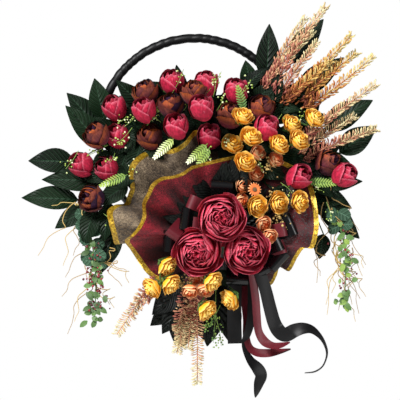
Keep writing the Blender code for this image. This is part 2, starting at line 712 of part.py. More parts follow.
def make_tail(crowd, name, width, out, line, finish):
    """A ribbon that hangs flat to the front, along a line of stations."""
    stations = [laid(x, out, z) for x, z in line]
    rows = []
    for before, here, after in zip(stations[:1] + stations, stations, stations[1:] + stations[-1:]):
        along = (after - before) / np.linalg.norm(after - before)
        across = np.array([-along[2], 0, along[0]]) * (width / 2)
        rows.append((here - across, here + across))
    for angle in (0, -TAIL_SWING / 2, -TAIL_SWING):
        for share in (0.15, 0.5, 0.85):
            places = [swung(a + (b - a) * share, laid(*TAIL_PIVOT), angle, "X") for a, b in rows]
            crowd.add(name, [(a, b, 0.15 * width) for a, b in zip(places, places[1:])])
    x, z = line[0][0], TAIL_PIVOT[2]
    add_sheet(name, rows, RIBBON_THICKNESS, finish, laid(x, TAIL_PIVOT[1], z))


def make_trail(crowd, side, knee, tip, finish):
    """The hanging part of a long spray: a flattened spindle, just under the end of its twig."""
    name = f"trailing_spray_{side}"
    knee, tip = laid(*knee), laid(*tip)
    length = float(np.linalg.norm(tip - knee))
    bare = LEAF_STALK_RADIUS + GAP
    spindle = [
        (0, bare), (2.0, bare), (3.0, 0.1 * length), (TRAIL_HALF_WIDTH, 0.35 * length),
        (0.85 * TRAIL_HALF_WIDTH, 0.65 * length), (0, length),
    ]
    for angle in (-TRAIL_SWING, 0, TRAIL_SWING):
        for offset in (-0.6, 0, 0.6):
            shift = np.array([offset * TRAIL_HALF_WIDTH, 0, 0])
            upper, lower = knee + (tip - knee) * 0.15, knee + (tip - knee) * 0.85
            line = [swung(p + shift, knee, angle, "Y") for p in (upper, lower)]
            crowd.add(name, [(*line, TRAIL_HALF_WIDTH * TRAIL_FLATNESS)])
    made = mesh_from(turned(spindle, 10, TRAIL_FLATNESS), name)
    add_object(name, made, finish, knee, upright_to(tip - knee))


def main():
    clear_scene()
    satin = material("black satin ribbon", (0.012, 0.012, 0.014), 0.35)
    burgundy = material("burgundy satin ribbon", (0.10, 0.01, 0.015), 0.4)
    steel = material("steel rod", (0.5, 0.5, 0.5), 0.4, 1.0)
    wire = material("binding wire", (0.3, 0.32, 0.3), 0.4, 1.0)
    plastic = material("green plastic", (0.03, 0.09, 0.04), 0.5)
    foam = material("flower foam", (0.07, 0.16, 0.08), 0.95)
    rose = material("rose petals", (0.55, 0.03, 0.08))
    red = material("red peony petals", (0.58, 0.02, 0.07))
    dark = material("dark peony petals", (0.13, 0.02, 0.02))
    yellow = material("yellow petals", (0.85, 0.38, 0.03))
    peach = material("peach petals", (0.75, 0.25, 0.1))
    heather = material("heather", (0.7, 0.33, 0.25))
    green = material("green leaves", (0.02, 0.07, 0.03))
    black = material("black leaves", (0.012, 0.015, 0.012))
    sage = material("eucalyptus", (0.08, 0.16, 0.1))
    net_outer = material("brown net", (0.12, 0.08, 0.05), 0.9)
    net_inner = material("burgundy net", (0.22, 0.015, 0.02), 0.9)

    crowd = Crowd()
    make_hoop(steel, satin)
    make_base(plastic, foam, wire)
    for side in LEAF_FANS:
        make_leaf_fan(crowd, side, black if side == "black" else green)
    make_collar(crowd, "outer", OUTER_RIM, net_outer)
    make_collar(crowd, "inner", INNER_RIM, net_inner)
    make_roses(crowd, rose)
    for name, (width, out, line) in TAILS.items():
        make_tail(crowd, f"tail_{name}", width, out, line, burgundy if "burgundy" in name else satin)
    for side, (knee, tip) in TRAILS.items():
        make_trail(crowd, side, knee, tip, sage)
    make_sprays(crowd, "lower", peach, yellow)
    make_bow(crowd, "bow_burgundy", BURGUNDY_KNOT, BURGUNDY_LOOPS, burgundy)
    make_bow(crowd, "bow_black", BOW_KNOT, BLACK_LOOPS, satin)
    for side, (root, tips) in PLUME_SPRAYS.items():
        make_plumes(crowd, side, root, tips, heather)
    make_peonies(crowd, red, dark)
    make_sprays(crowd, "upper", peach, yellow)
    make_sprays(crowd, "middle", peach, yellow)


main()
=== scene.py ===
# %% [markdown]
# # A harvest door wreath of artificial flowers
# The real object is a metal ring bound with black satin, with a tray of florist's foam tied to its
# lower part. Wired silk peonies, roses and ranunculus are pushed into the foam among printed leaves,
# with two frilled net collars and a ribbon bow in front. The frame of solids is already made, so it
# is loaded first: it says where everything is and what moves.

# %% Load the frame
import math, random
import bmesh, bpy
from mathutils import Matrix, Vector


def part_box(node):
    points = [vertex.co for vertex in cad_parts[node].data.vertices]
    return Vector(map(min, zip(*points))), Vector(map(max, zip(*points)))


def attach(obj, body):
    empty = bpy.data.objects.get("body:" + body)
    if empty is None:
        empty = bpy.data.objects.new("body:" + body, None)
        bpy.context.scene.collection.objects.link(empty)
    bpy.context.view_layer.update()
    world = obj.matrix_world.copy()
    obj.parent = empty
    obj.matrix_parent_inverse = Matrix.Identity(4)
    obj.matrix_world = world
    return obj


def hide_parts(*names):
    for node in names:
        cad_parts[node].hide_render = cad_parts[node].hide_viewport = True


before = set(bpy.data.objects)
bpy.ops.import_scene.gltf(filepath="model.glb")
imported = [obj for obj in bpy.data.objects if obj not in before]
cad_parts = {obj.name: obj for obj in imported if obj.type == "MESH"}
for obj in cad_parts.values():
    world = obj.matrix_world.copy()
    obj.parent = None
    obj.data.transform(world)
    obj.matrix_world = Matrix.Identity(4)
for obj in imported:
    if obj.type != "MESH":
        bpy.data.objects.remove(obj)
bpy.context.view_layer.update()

# %% [markdown]
# Sizes below are in millimetres from the middle of the ring, because a florist works from the ring.
# The ring's middle comes from its own box, and one function turns such a place into metres.

# %% Places
LOW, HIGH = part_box("hoop_rod")
MIDDLE = (LOW + HIGH) / 2


def at(x, out, z):
    """A place in metres, x and z from the ring's middle and out towards the viewer, all in mm."""
    return Vector((MIDDLE.x + x / 1000, -out / 1000, MIDDLE.z + z / 1000))


print("ring middle", MIDDLE)

# %% [markdown]
# ## Camera and light
# The wreath hangs at eye height and is seen square on from far away, so its outline hardly
# converges: a long lens six metres off does that. A large soft panel above the left shoulder and a
# weaker one on the right are the usual studio pair, both aimed at the middle of the bouquet. The
# backdrop is white to the eye but lights the flowers only gently, or the gaps between them would
# lose their depth.

# %% Camera
EYE = Vector((0.00875, -6.0, -0.278))   # metres: level with the middle of the bouquet
LENS, FILM = 305, 36                     # millimetres
eye = bpy.data.cameras.new("eye")
eye.sensor_width, eye.lens = FILM, LENS
camera = bpy.data.objects.new("eye", eye)
camera.location = EYE
camera.rotation_euler = (math.pi / 2, 0, 0)
bpy.context.scene.collection.objects.link(camera)
bpy.context.scene.camera = camera
bpy.context.scene.view_settings.view_transform = "Standard"
print("camera", tuple(round(part, 3) for part in EYE), "m, lens", LENS, "mm")

# %% Lights and backdrop
AIM = Vector((0, 0, -0.28))
for name, place, size, power in (
    ("key_panel", (-1.6, -2.5, 1.7), 0.9, 235),
    ("fill_panel", (2.2, -2.4, 0.3), 1.4, 45),
):
    panel = bpy.data.lights.new(name, "AREA")
    panel.size, panel.energy = size, power
    lamp = bpy.data.objects.new(name, panel)
    lamp.location = place
    lamp.rotation_euler = (AIM - lamp.location).to_track_quat("-Z", "Y").to_euler()
    bpy.context.scene.collection.objects.link(lamp)
    print(name, size, "m,", power, "W")
room = bpy.data.worlds.new("studio")
room.use_nodes = True
bpy.context.scene.world = room

# %% [markdown]
# ## One way to add a node
# Every material below is a small tree of nodes. One function adds a node: its settings, its sockets
# by name or number, and a ramp's stops. Colours are written as a screen shows them and turned to the
# linear values that shaders take.

# %% Colours and nodes


def linear(code):
    """A '#RRGGBB' colour as linear values."""
    parts = [int(code[i:i + 2], 16) / 255 for i in (1, 3, 5)]
    return [c / 12.92 if c <= 0.04045 else ((c + 0.055) / 1.055) ** 2.4 for c in parts] + [1]


def add(tree, kind, inputs=(), stops=(), **settings):
    """Adds one node and returns it."""
    node = tree.nodes.new("ShaderNode" + kind)
    for key, value in settings.items():
        setattr(node, key, value)
    for i, (place, code) in enumerate(stops):
        made = node.color_ramp.elements
        stop = made[i] if i < 2 else made.new(place)
        stop.position, stop.color = place, linear(code)
    for key, value in dict(inputs).items():
        if isinstance(value, bpy.types.NodeSocket):
            tree.links.new(value, node.inputs[key])
        else:
            node.inputs[key].default_value = value
    return node


def new_material(name):
    """An empty material and its tree."""
    made = bpy.data.materials.new(name)
    made.use_nodes = True
    made.node_tree.nodes.clear()
    return made, made.node_tree


def surface(tree, **inputs):
    """Ends a tree in one Principled surface."""
    body = add(tree, "BsdfPrincipled", {key.replace("_", " "): value for key, value in inputs.items()})
    add(tree, "OutputMaterial", {"Surface": body.outputs[0]})


# %% Backdrop
room.node_tree.nodes.clear()
seen = add(room.node_tree, "LightPath").outputs["Is Camera Ray"]
glow = add(room.node_tree, "Background", {"Color": linear("#F6F6F8"), "Strength": 0.28})
white = add(room.node_tree, "Background", {"Color": linear("#FFFFFF"), "Strength": 1.0})
both = add(room.node_tree, "MixShader", {0: seen, 1: glow.outputs[0], 2: white.outputs[0]})
add(room.node_tree, "OutputWorld", {"Surface": both.outputs[0]})

# %% [markdown]
# ## Cloth petals
# Silk flowers are woven polyester, dyed, cut and pressed between hot brass tools that leave fine
# ribs from foot to rim. The eye sees a soft surface, paler or darker at the foot and the rim, with
# hair-thin streaks along the petal. The map called "cloth" runs across and along each petal, so a
# noise squeezed across and stretched along gives the ribs, about 0.8 mm apart on a 40 mm petal.

# %% Petal material


def petal_cloth(name, foot, body, rim, odd, edge=0.9, wear=0.6):
    """Pressed polyester: foot, body and, past edge, rim colours, with odd on the petals of low tone.

    Wear is how much the ribs and the dye's clouds darken it.
    """
    made, tree = new_material(name)
    uv = add(tree, "UVMap", uv_map="cloth").outputs[0]
    tone = add(tree, "Attribute", attribute_name="tone").outputs["Fac"]
    along = add(tree, "SeparateXYZ", {0: uv}).outputs["Y"]
    ribs = add(tree, "TexNoise", {
        "Vector": add(tree, "Mapping", {"Vector": uv, "Scale": (34, 1.7, 1)}).outputs[0],
        "Scale": 1.0, "Detail": 3.0}).outputs[0]
    place = add(tree, "TexCoord").outputs["Object"]
    patch = add(tree, "TexNoise", {"Vector": place, "Scale": 150.0, "Detail": 3.0}).outputs[0]
    plain = add(tree, "ValToRGB", {0: along}, [(0.0, foot), (0.25, body), (edge, body), (1.0, rim)])
    turned = add(tree, "ValToRGB", {0: along}, [(0.0, odd), (1.0, odd)])
    base = add(tree, "MixRGB", {0: tone, 1: turned.outputs[0], 2: plain.outputs[0]}).outputs[0]
    streak = add(tree, "ValToRGB", {0: ribs}, [(0.32, "#A8A8A8"), (0.68, "#FFFFFF")]).outputs[0]
    ribbed = add(tree, "MixRGB", {0: wear, 1: base, 2: streak}, blend_type="MULTIPLY").outputs[0]
    cloud = add(tree, "ValToRGB", {0: patch}, [(0.38, "#A4A4A4"), (0.62, "#FFFFFF")]).outputs[0]
    colour = add(tree, "MixRGB", {0: wear, 1: ribbed, 2: cloud}, blend_type="MULTIPLY").outputs[0]
    dull = add(tree, "MapRange", {0: ribs, 3: 0.52, 4: 0.7}).outputs[0]
    relief = add(tree, "Bump", {"Height": ribs, "Strength": 0.5, "Distance": 0.0006}).outputs[0]
    surface(tree, Base_Color=colour, Roughness=dull, Normal=relief, Sheen_Weight=0.03,
            Sheen_Roughness=0.4, Specular_IOR_Level=0.16)
    return made


CLOTH = "pressed polyester petals, "
RED = petal_cloth(CLOTH + "raspberry", "#C4A070", "#C02444", "#E26C82", "#981630")
ROSE = petal_cloth(CLOTH + "rose", "#A01430", "#DC3452", "#F0788C", "#B41C3A", 0.88)
DARK = petal_cloth(CLOTH + "maroon", "#34121A", "#7A2E3A", "#B85C28", "#301430", 0.62)
YELLOW = petal_cloth(CLOTH + "egg yellow", "#F08208", "#FFC22E", "#FFE488", "#FFA41C", 0.75, 0.3)
PEACH = petal_cloth(CLOTH + "peach", "#C84418", "#FF9050", "#FFDCA8", "#EC6A34", 0.75, 0.35)
print("petal materials", RED.name, ROSE.name, DARK.name, YELLOW.name, PEACH.name)

# %% [markdown]
# ## Printed leaves
# The leaves are the same cloth, printed green and pressed with a midrib and slanting side veins, then
# dipped in a thin plastic that gives a satin gloss. The veins are lines of equal (along - across):
# a sine of that makes the quilted bump between them, and its crests the paler print.

# %% Leaf material


def leaf_cloth(name, dark, light, vein, rough=0.46, pleats=60.0):
    """Coated cloth leaf: two greens chosen by tone, paler veins and a quilted relief."""
    made, tree = new_material(name)
    uv = add(tree, "UVMap", uv_map="cloth").outputs[0]
    tone = add(tree, "Attribute", attribute_name="tone").outputs["Fac"]
    parts = add(tree, "SeparateXYZ", {0: uv})
    off = add(tree, "Math", {0: parts.outputs["X"], 1: 0.5}, operation="SUBTRACT").outputs[0]
    aside = add(tree, "Math", {0: off}, operation="ABSOLUTE").outputs[0]
    slant = add(tree, "Math", {0: aside, 1: -0.55, 2: parts.outputs["Y"]},
                operation="MULTIPLY_ADD").outputs[0]
    wave = add(tree, "Math", {0: slant, 1: pleats}, operation="MULTIPLY").outputs[0]
    quilt = add(tree, "Math", {0: wave}, operation="SINE").outputs[0]
    side = add(tree, "MapRange", {0: quilt, 1: 0.72, 2: 1.0}).outputs[0]
    mid = add(tree, "MapRange", {0: aside, 1: 0.035, 2: 0.012}).outputs[0]
    lines = add(tree, "Math", {0: side, 1: 0.55}, operation="MULTIPLY").outputs[0]
    veins = add(tree, "Math", {0: lines, 1: mid}, operation="MAXIMUM").outputs[0]
    place = add(tree, "TexCoord").outputs["Object"]
    patch = add(tree, "TexNoise", {"Vector": place, "Scale": 45.0, "Detail": 3.0}).outputs[0]
    blend = add(tree, "Math", {0: patch, 1: 0.7, 2: tone}, operation="MULTIPLY_ADD").outputs[0]
    pick = add(tree, "MapRange", {0: blend, 1: 0.25, 2: 1.2}).outputs[0]
    green = add(tree, "MixRGB", {0: pick, 1: linear(dark), 2: linear(light)}).outputs[0]
    colour = add(tree, "MixRGB", {0: veins, 1: green, 2: linear(vein)}).outputs[0]
    dull = add(tree, "MapRange", {0: patch, 3: rough - 0.08, 4: rough + 0.14}).outputs[0]
    relief = add(tree, "Bump", {"Height": quilt, "Strength": 0.6, "Distance": 0.0012}).outputs[0]
    surface(tree, Base_Color=colour, Roughness=dull, Normal=relief, Specular_IOR_Level=0.14)
    return made


GREEN_LEAF = leaf_cloth("coated cloth leaf, dark green", "#030604", "#0E1E0E", "#1D3322", 0.42)
BLACK_LEAF = leaf_cloth("coated cloth leaf, near black", "#040505", "#0C100D", "#161D18", 0.45)
ROUND_LEAF = leaf_cloth("coated cloth leaf, eucalyptus", "#14241A", "#34503C", "#4C6A56", 0.6, 24.0)
print("leaf materials", GREEN_LEAF.name, BLACK_LEAF.name, ROUND_LEAF.name)

# %% [markdown]
# ## Ribbon, net and gold edge
# Satin floats long smooth threads over the face, so it is dark with one bright band where it bends:
# low roughness and a little anisotropy. The bow is fresh and crisp; the ring and the hanging tails
# have been pulled and handled, so they are duller. The collars are loose sisal net, threads laid in
# all directions, rougher and uneven, with pinholes between them, which are painted dark as painted
# shade. Real sisal threads are 0.3 mm; drawn 1.2 mm apart here so that the mottle still shows from
# across a room. A net in folds is dark where little light gets between its layers: this is painted
# shade, which the tone that the collar carries puts into the net's colour.

# %% Ribbon and net materials


def satin(name, shade, light, rough, shine=0.35):
    """Woven satin ribbon with its selvedge: 25 to 38 mm wide, threads along it."""
    made, tree = new_material(name)
    uv = add(tree, "UVMap", uv_map="cloth").outputs[0]
    threads = add(tree, "TexNoise", {
        "Vector": add(tree, "Mapping", {"Vector": uv, "Scale": (8, 0.6, 1)}).outputs[0],
        "Scale": 4.0, "Detail": 2.0}).outputs[0]
    colour = add(tree, "ValToRGB", {0: threads}, [(0.3, shade), (0.75, light)]).outputs[0]
    dull = add(tree, "MapRange", {0: threads, 3: rough - 0.05, 4: rough + 0.1}).outputs[0]
    relief = add(tree, "Bump", {"Height": threads, "Strength": 0.04, "Distance": 0.0002}).outputs[0]
    surface(tree, Base_Color=colour, Roughness=dull, Normal=relief, Anisotropic=0.2,
            Specular_IOR_Level=shine)
    return made


def net(name, shade, light, pinhole_shade):
    """Sisal net: crossing threads, on a cloth map in centimetres, with painted shade in its pinholes and in
    its folds by the tone it carries.
    """
    made, tree = new_material(name)
    uv = add(tree, "UVMap", uv_map="cloth").outputs[0]
    height = None
    for scale in ((9.0, 1.6, 1), (1.6, 9.0, 1)):
        squeezed = add(tree, "Mapping", {"Vector": uv, "Scale": scale}).outputs[0]
        thread = add(tree, "TexNoise", {"Vector": squeezed, "Scale": 1.1, "Detail": 2.0,
                                        "Distortion": 0.4}).outputs[0]
        height = thread if height is None else add(
            tree, "Math", {0: height, 1: thread}, operation="MAXIMUM").outputs[0]
    patch = add(tree, "TexNoise", {"Vector": uv, "Scale": 0.35, "Detail": 2.0}).outputs[0]
    mottle = add(tree, "Math", {0: patch, 1: 0.35, 2: height}, operation="MULTIPLY_ADD").outputs[0]
    # Where the threads part, the pinholes take a dark colour: painted shade for what lies behind the net.
    dye = add(tree, "ValToRGB", {0: mottle}, [(0.62, pinhole_shade), (0.74, shade), (0.86, light)]).outputs[0]
    # Painted shade: the tone that a collar carries darkens the net at its mouth, in its folds and on its
    # right side.
    depth = add(tree, "Attribute", attribute_name="tone").outputs["Fac"]
    layers = add(tree, "ValToRGB", {0: depth},
                 [(0.0, "#241A1A"), (0.5, "#8C8080"), (1.0, "#FFFFFF")]).outputs[0]
    colour = add(tree, "MixRGB", {0: 1.0, 1: dye, 2: layers}, blend_type="MULTIPLY").outputs[0]
    open_part = add(tree, "MapRange", {0: height, 1: 0.44, 2: 0.5, 3: 0.92, 4: 1.0}).outputs[0]
    relief = add(tree, "Bump", {"Height": height, "Strength": 0.6, "Distance": 0.0009}).outputs[0]
    dull = add(tree, "MapRange", {0: height, 3: 0.8, 4: 0.5}).outputs[0]
    surface(tree, Base_Color=colour, Alpha=open_part, Roughness=dull, Normal=relief, Sheen_Weight=0.06,
            Sheen_Roughness=0.5, Specular_IOR_Level=0.25)
    return made


BLACK_SATIN = satin("woven satin ribbon, black", "#020203", "#060607", 0.2)
WORN_SATIN = satin("woven satin ribbon, black, handled", "#020203", "#070708", 0.44, 0.22)
WINE_SATIN = satin("woven satin ribbon, burgundy", "#3E0A12", "#681824", 0.42)
BROWN_NET = net("sisal net, grey brown", "#665744", "#9C8B72", "#2E251C")
WINE_NET = net("sisal net, burgundy", "#640C18", "#961E2E", "#28060C")

# %% Gold edge
GOLD_EDGE, tree = new_material("metallic lurex binding, gold")
uv = add(tree, "UVMap", uv_map="cloth").outputs[0]
glint = add(tree, "TexNoise", {"Vector": uv, "Scale": 2.6, "Detail": 4.0, "Roughness": 0.7}).outputs[0]
colour = add(tree, "ValToRGB", {0: glint},
             [(0.35, "#644A12"), (0.5, "#A8841E"), (0.68, "#E8C840")]).outputs[0]
relief = add(tree, "Bump", {"Height": glint, "Strength": 0.8, "Distance": 0.0008}).outputs[0]
dull = add(tree, "MapRange", {0: glint, 3: 0.5, 4: 0.28}).outputs[0]
surface(tree, Base_Color=colour, Roughness=dull, Normal=relief, Metallic=0.45)
print("trim materials", BLACK_SATIN.name, WINE_SATIN.name, BROWN_NET.name, WINE_NET.name, GOLD_EDGE.name)

# %% [markdown]
# ## Moulded greens, twigs, foam and wire
# Stems, ferns, sprigs and berries come from a mould, dull and slightly mottled. One function makes
# them all, with the colour chosen along the piece by the tone that it carries. The foam, the tray,
# the ties and the rod keep their solids from the frame, whose shapes are right, and only get a
# finish, which is mottled in the same way.

# %% Small materials


def moulded(name, stops, rough=0.55, grain=900.0, depth=0.0004, metal=0.0):
    """A mottled surface whose colour runs through stops with the tone it carries."""
    made, tree = new_material(name)
    tone = add(tree, "Attribute", attribute_name="tone").outputs["Fac"]
    place = add(tree, "TexCoord").outputs["Object"]
    spots = add(tree, "TexNoise", {"Vector": place, "Scale": grain, "Detail": 2.0}).outputs[0]
    shift = add(tree, "Math", {0: spots, 1: 0.16, 2: tone}, operation="MULTIPLY_ADD").outputs[0]
    level = add(tree, "Math", {0: shift, 1: 0.08}, operation="SUBTRACT").outputs[0]
    colour = add(tree, "ValToRGB", {0: level}, stops).outputs[0]
    dull = add(tree, "MapRange", {0: spots, 3: rough - 0.1, 4: rough + 0.12}).outputs[0]
    relief = add(tree, "Bump", {"Height": spots, "Strength": 0.5, "Distance": depth}).outputs[0]
    surface(tree, Base_Color=colour, Roughness=dull, Normal=relief, Metallic=metal)
    return made


# Soft moulded plastic: leaf green stems, lime fern tips and near white buds on one scale.
STEM = moulded("moulded polyethylene, stem greens",
               [(0.0, "#22361C"), (0.5, "#4A6E2C"), (0.8, "#94AC44"), (1.0, "#E8EACC")])
# Flock on wire is dull and furry, so a twig hardly shines.
TWIG = moulded("flocked wire twig, straw", [(0.0, "#5E4630"), (0.5, "#A0824A"), (1.0, "#CDB46C")], 0.7)
# Foamed plastic has an open skin, which looks chalky and takes the dye unevenly.
PINK_HEATH = moulded("foamed polyethylene heath, pink to cream", [
    (0.0, "#70302C"), (0.28, "#A86250"), (0.5, "#B88C68"), (0.75, "#C4AE80"), (1.0, "#CEC498")], 0.75)
RUST_HEATH = moulded("foamed polyethylene heath, rust to yellow", [
    (0.0, "#642A16"), (0.35, "#A05A2C"), (0.6, "#C09444"), (1.0, "#D0C284")], 0.75)
# Lacquer over foam gives each berry one small highlight.
BERRY = moulded("lacquered foam berry, wine", [(0.0, "#3E0A12"), (1.0, "#8C1C2A")], 0.3)
# Phenolic foam crumbles in grains of 2.5 mm and has no shine at all.
FOAM = moulded("phenolic florist's foam", [(0.0, "#1A2A1A"), (1.0, "#2C4030")], 0.9, 400.0, 0.001)
# A sheet pulled over a mould stays smooth and half glossy.
TRAY = moulded("vacuum-formed polystyrene, black", [(0.0, "#0C0D0D"), (1.0, "#1C1E1E")], 0.45)
# Annealing leaves a grey scale on the wire, but the rod is drawn bright.
WIRE = moulded("annealed binding wire", [(0.0, "#1E2220"), (1.0, "#5A605C")], 0.45, metal=0.9)
STEEL = moulded("bright drawn steel rod", [(0.0, "#6A6C6E"), (1.0, "#A8AAAC")], 0.35, metal=1.0)
for name, paint in (("hoop_rod", STEEL), ("foam_tray", TRAY), ("flower_foam", FOAM),
                    ("tie_wire_left", WIRE), ("tie_wire_right", WIRE), ("tie_wire_bottom", WIRE)):
    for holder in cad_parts[name].material_slots:
        holder.material = paint
print("small materials and carried-over nodes done")

# %% [markdown]
# ## The floor
# The wreath hangs on a door, so the floor is well below its tails. It is painted plaster: pale and
# matt, with a trowel's faint clouds 60 mm across. It is only a stage, and not part of the object.

# %% Floor
FLOOR_DROP = 0.40    # metres from the ring's lowest place to the floor
PLASTER = moulded("painted plaster floor", [(0.0, "#F2F2F0"), (1.0, "#FAFAF8")], 0.8, 16.0, 0.001)
bm = bmesh.new()
bmesh.ops.create_grid(bm, x_segments=4, y_segments=4, size=1.0)
bmesh.ops.translate(bm, verts=bm.verts, vec=(0.0, 0.0, LOW.z - FLOOR_DROP))
mesh = bpy.data.meshes.new("floor")
bm.to_mesh(mesh)
bm.free()
mesh.materials.append(PLASTER)
floor = bpy.data.objects.new("floor", mesh)
bpy.context.scene.collection.objects.link(floor)
print("floor at", round(LOW.z - FLOOR_DROP, 3), "m")

# %% [markdown]
# ## A sheet, bent by a rule
# Petals, leaves, stems, ribbons and net are all thin sheets. Each starts as a flat grid whose two
# directions are kept as the "cloth" map, and a rule then says where each point of it goes. A stem is
# a sheet rolled until its sides meet.

# %% Sheets and stems


def new_mesh():
    """A bmesh with the cloth map and the tone that the materials read."""
    bm = bmesh.new()
    bm.loops.layers.uv.new("cloth")
    bm.verts.layers.float.new("tone")
    return bm


def add_sheet(bm, across, along, rule, tone=0.5, paint=0, spread=(1, 1), sew=False):
    """A grid bent by rule(u, v), u from -1 to 1 across and v from 0 to 1 along."""
    grid = bmesh.ops.create_grid(bm, x_segments=across, y_segments=along, size=1.0)["verts"]
    flat = {vert: (vert.co.x, (vert.co.y + 1) / 2) for vert in grid}
    layer, shade = bm.loops.layers.uv["cloth"], bm.verts.layers.float["tone"]
    for face in {face for vert in grid for face in vert.link_faces}:
        face.smooth, face.material_index = True, paint
        for corner in face.loops:
            u, v = flat[corner.vert]
            corner[layer].uv = ((u + 1) / 2 * spread[0], v * spread[1])
    for vert, (u, v) in flat.items():
        vert.co = rule(u, v)
        vert[shade] = tone(u, v) if callable(tone) else tone
    if sew:
        bmesh.ops.remove_doubles(bm, verts=grid, dist=2e-6)
    return grid


def on_line(points, share):
    """The place that share, 0 to 1, along a smooth line through the points."""
    last = len(points) - 1
    i = max(0, min(int(share * last), last - 1))
    t = share * last - i
    a, b, c, d = (points[max(0, min(i + k, last))] for k in (-1, 0, 1, 2))
    return (2 * b + (c - a) * t + (2 * a - 5 * b + 4 * c - d) * t * t + (3 * (b - c) + d - a) * t ** 3) / 2


def add_stem(bm, points, thick, thin, tone=0.4, paint=0, sides=6, steps=10):
    """A round stem along the points, from radius thick to radius thin."""
    def rule(u, v):
        here = on_line(points, v)
        ahead = on_line(points, min(1, v + 0.01)) - on_line(points, max(0, v - 0.01))
        turn = ahead.to_track_quat("Z", "Y")
        round_it = Vector((math.cos(math.pi * u), math.sin(math.pi * u), 0))
        return here + turn @ round_it * (thick + (thin - thick) * v)
    add_sheet(bm, sides, steps, rule, tone, paint, sew=True)


def stamp(bm, template, matrix, tone=None, paint=0):
    """Adds a copy of a small mesh at a place, with its tone and paint changed if they are given."""
    copy = template.copy()
    copy.transform(matrix)
    if tone is not None:
        copy.attributes["tone"].data.foreach_set("value", [tone] * len(copy.vertices))
    if paint:
        copy.polygons.foreach_set("material_index", [paint] * len(copy.polygons))
    bm.from_mesh(copy)
    bpy.data.meshes.remove(copy)


def keep(bm, name):
    """Ends a bmesh in a mesh."""
    mesh = bpy.data.meshes.new(name)
    bm.to_mesh(mesh)
    bm.free()
    return mesh


def piece(name, bm, paints, slot, nodes=(), body="wreath"):
    """Ends a bmesh in a finished piece that rides on a body and stands for its frame nodes."""
    mesh = keep(bm, name)
    made = bpy.data.objects.new(name, mesh)
    bpy.context.scene.collection.objects.link(made)
    for paint in paints:
        mesh.materials.append(paint)
    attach(made, body)
    if nodes:
        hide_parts(*nodes)
    print(name, len(mesh.polygons), "faces")
    return made


def area_of(made):
    """The area of a piece's cloth, in square metres."""
    return sum(face.area for face in made.data.polygons)


def stand(centre, axis, size, roll=0.0):
    """Where a template of unit size goes: its Z along axis, its middle at centre."""
    turn = Vector(axis).to_track_quat("Z", "Y").to_matrix().to_4x4()
    return Matrix.Translation(centre) @ turn @ Matrix.Rotation(roll, 4, "Z") @ Matrix.Scale(size, 4)


# %% [markdown]
# ## Blooms in layers
# A florist's head is petals nested in rings on one stem. Each petal here is a patch of a globe: it
# climbs from the foot to an angle of rise, its rim dips at both sides, one edge tucks under its
# neighbour, and ruffle bends the rim. A tall globe closed early is a peony bud, a wide one with many
# ruffled rings a garden rose.

# %% Petals


def cup_rule(scale, half, rise, turn, tall, lift, dip, ruffle, curl, seed):
    """The rule of one petal on a globe of that scale."""
    dice = random.Random(seed)
    waves, phase, lean = dice.uniform(3.2, 6.0), dice.uniform(0, 6.3), dice.uniform(-0.05, 0.05)

    def rule(u, v):
        frill = ruffle * 0.9 * math.sin(waves * 1.4 * u + phase) * v
        angle = 0.12 + (rise - 0.12) * v * (1 - dip * u * u + frill)
        side = turn + u * half * (0.45 + 0.55 * math.sin(min(1, v * 1.5) * math.pi / 2))
        swell = scale * (1 + 0.08 * u + lean * v) + ruffle * math.sin(waves * u + phase) * v ** 3
        swell += curl * max(0.0, v - 0.6) ** 2 * 4
        flat = swell * math.sin(angle)
        return Vector((flat * math.cos(side), flat * math.sin(side), lift - swell * tall * math.cos(angle)))
    return rule


def add_bloom(bm, rings, tall, seed, across=6, along=7, change=0.15):
    """Rings of petals: (how many, scale, half width, rise, lift, dip, ruffle, curl, tone)."""
    dice = random.Random(seed)
    offset = 0.0
    for count, scale, half, rise, lift, dip, ruffle, curl, tone in rings:
        for i in range(count):
            turn = offset + math.tau * i / count + dice.uniform(-0.12, 0.12)
            rule = cup_rule(scale, math.radians(half), math.radians(rise + dice.uniform(-5, 5)), turn,
                            tall, lift, dip, ruffle, curl, dice.random())
            add_sheet(bm, across, along, rule, min(1, max(0, tone + dice.uniform(-change, change))))
        offset += math.pi / count + 0.4


def add_calyx(bm, count, half, rise):
    """Green sepals that cup a head of unit radius."""
    for i in range(count):
        rule = cup_rule(1.03, math.radians(half), math.radians(rise), math.tau * i / count, 1.05,
                        0.0, 0.85, 0.0, 0.0, i)
        add_sheet(bm, 3, 5, rule, 0.45, 1)


BUD_RINGS = (
    (3, 1.0, 66, 128, 0.0, 0.34, 0.015, 0.10, 0.95),
    (3, 0.93, 60, 136, 0.0, 0.32, 0.015, 0.05, 0.75),
    (3, 0.84, 58, 142, 0.06, 0.30, 0.02, 0.02, 0.95),
    (3, 0.70, 58, 146, 0.20, 0.28, 0.02, 0.0, 0.5),
    (3, 0.50, 60, 150, 0.42, 0.26, 0.02, 0.0, 0.15),
)
PEONY_RINGS = (
    (3, 1.0, 66, 108, 0.0, 0.28, 0.02, 0.16, 0.5),
    (3, 0.95, 62, 124, 0.0, 0.30, 0.03, 0.10, 0.2),
    (4, 0.86, 50, 132, 0.06, 0.28, 0.03, 0.03, 0.7),
    (4, 0.72, 48, 136, 0.18, 0.26, 0.04, 0.0, 0.5),
    (3, 0.54, 52, 140, 0.36, 0.24, 0.04, 0.0, 0.9),
    (3, 0.34, 54, 146, 0.54, 0.22, 0.03, 0.0, 0.1),
)
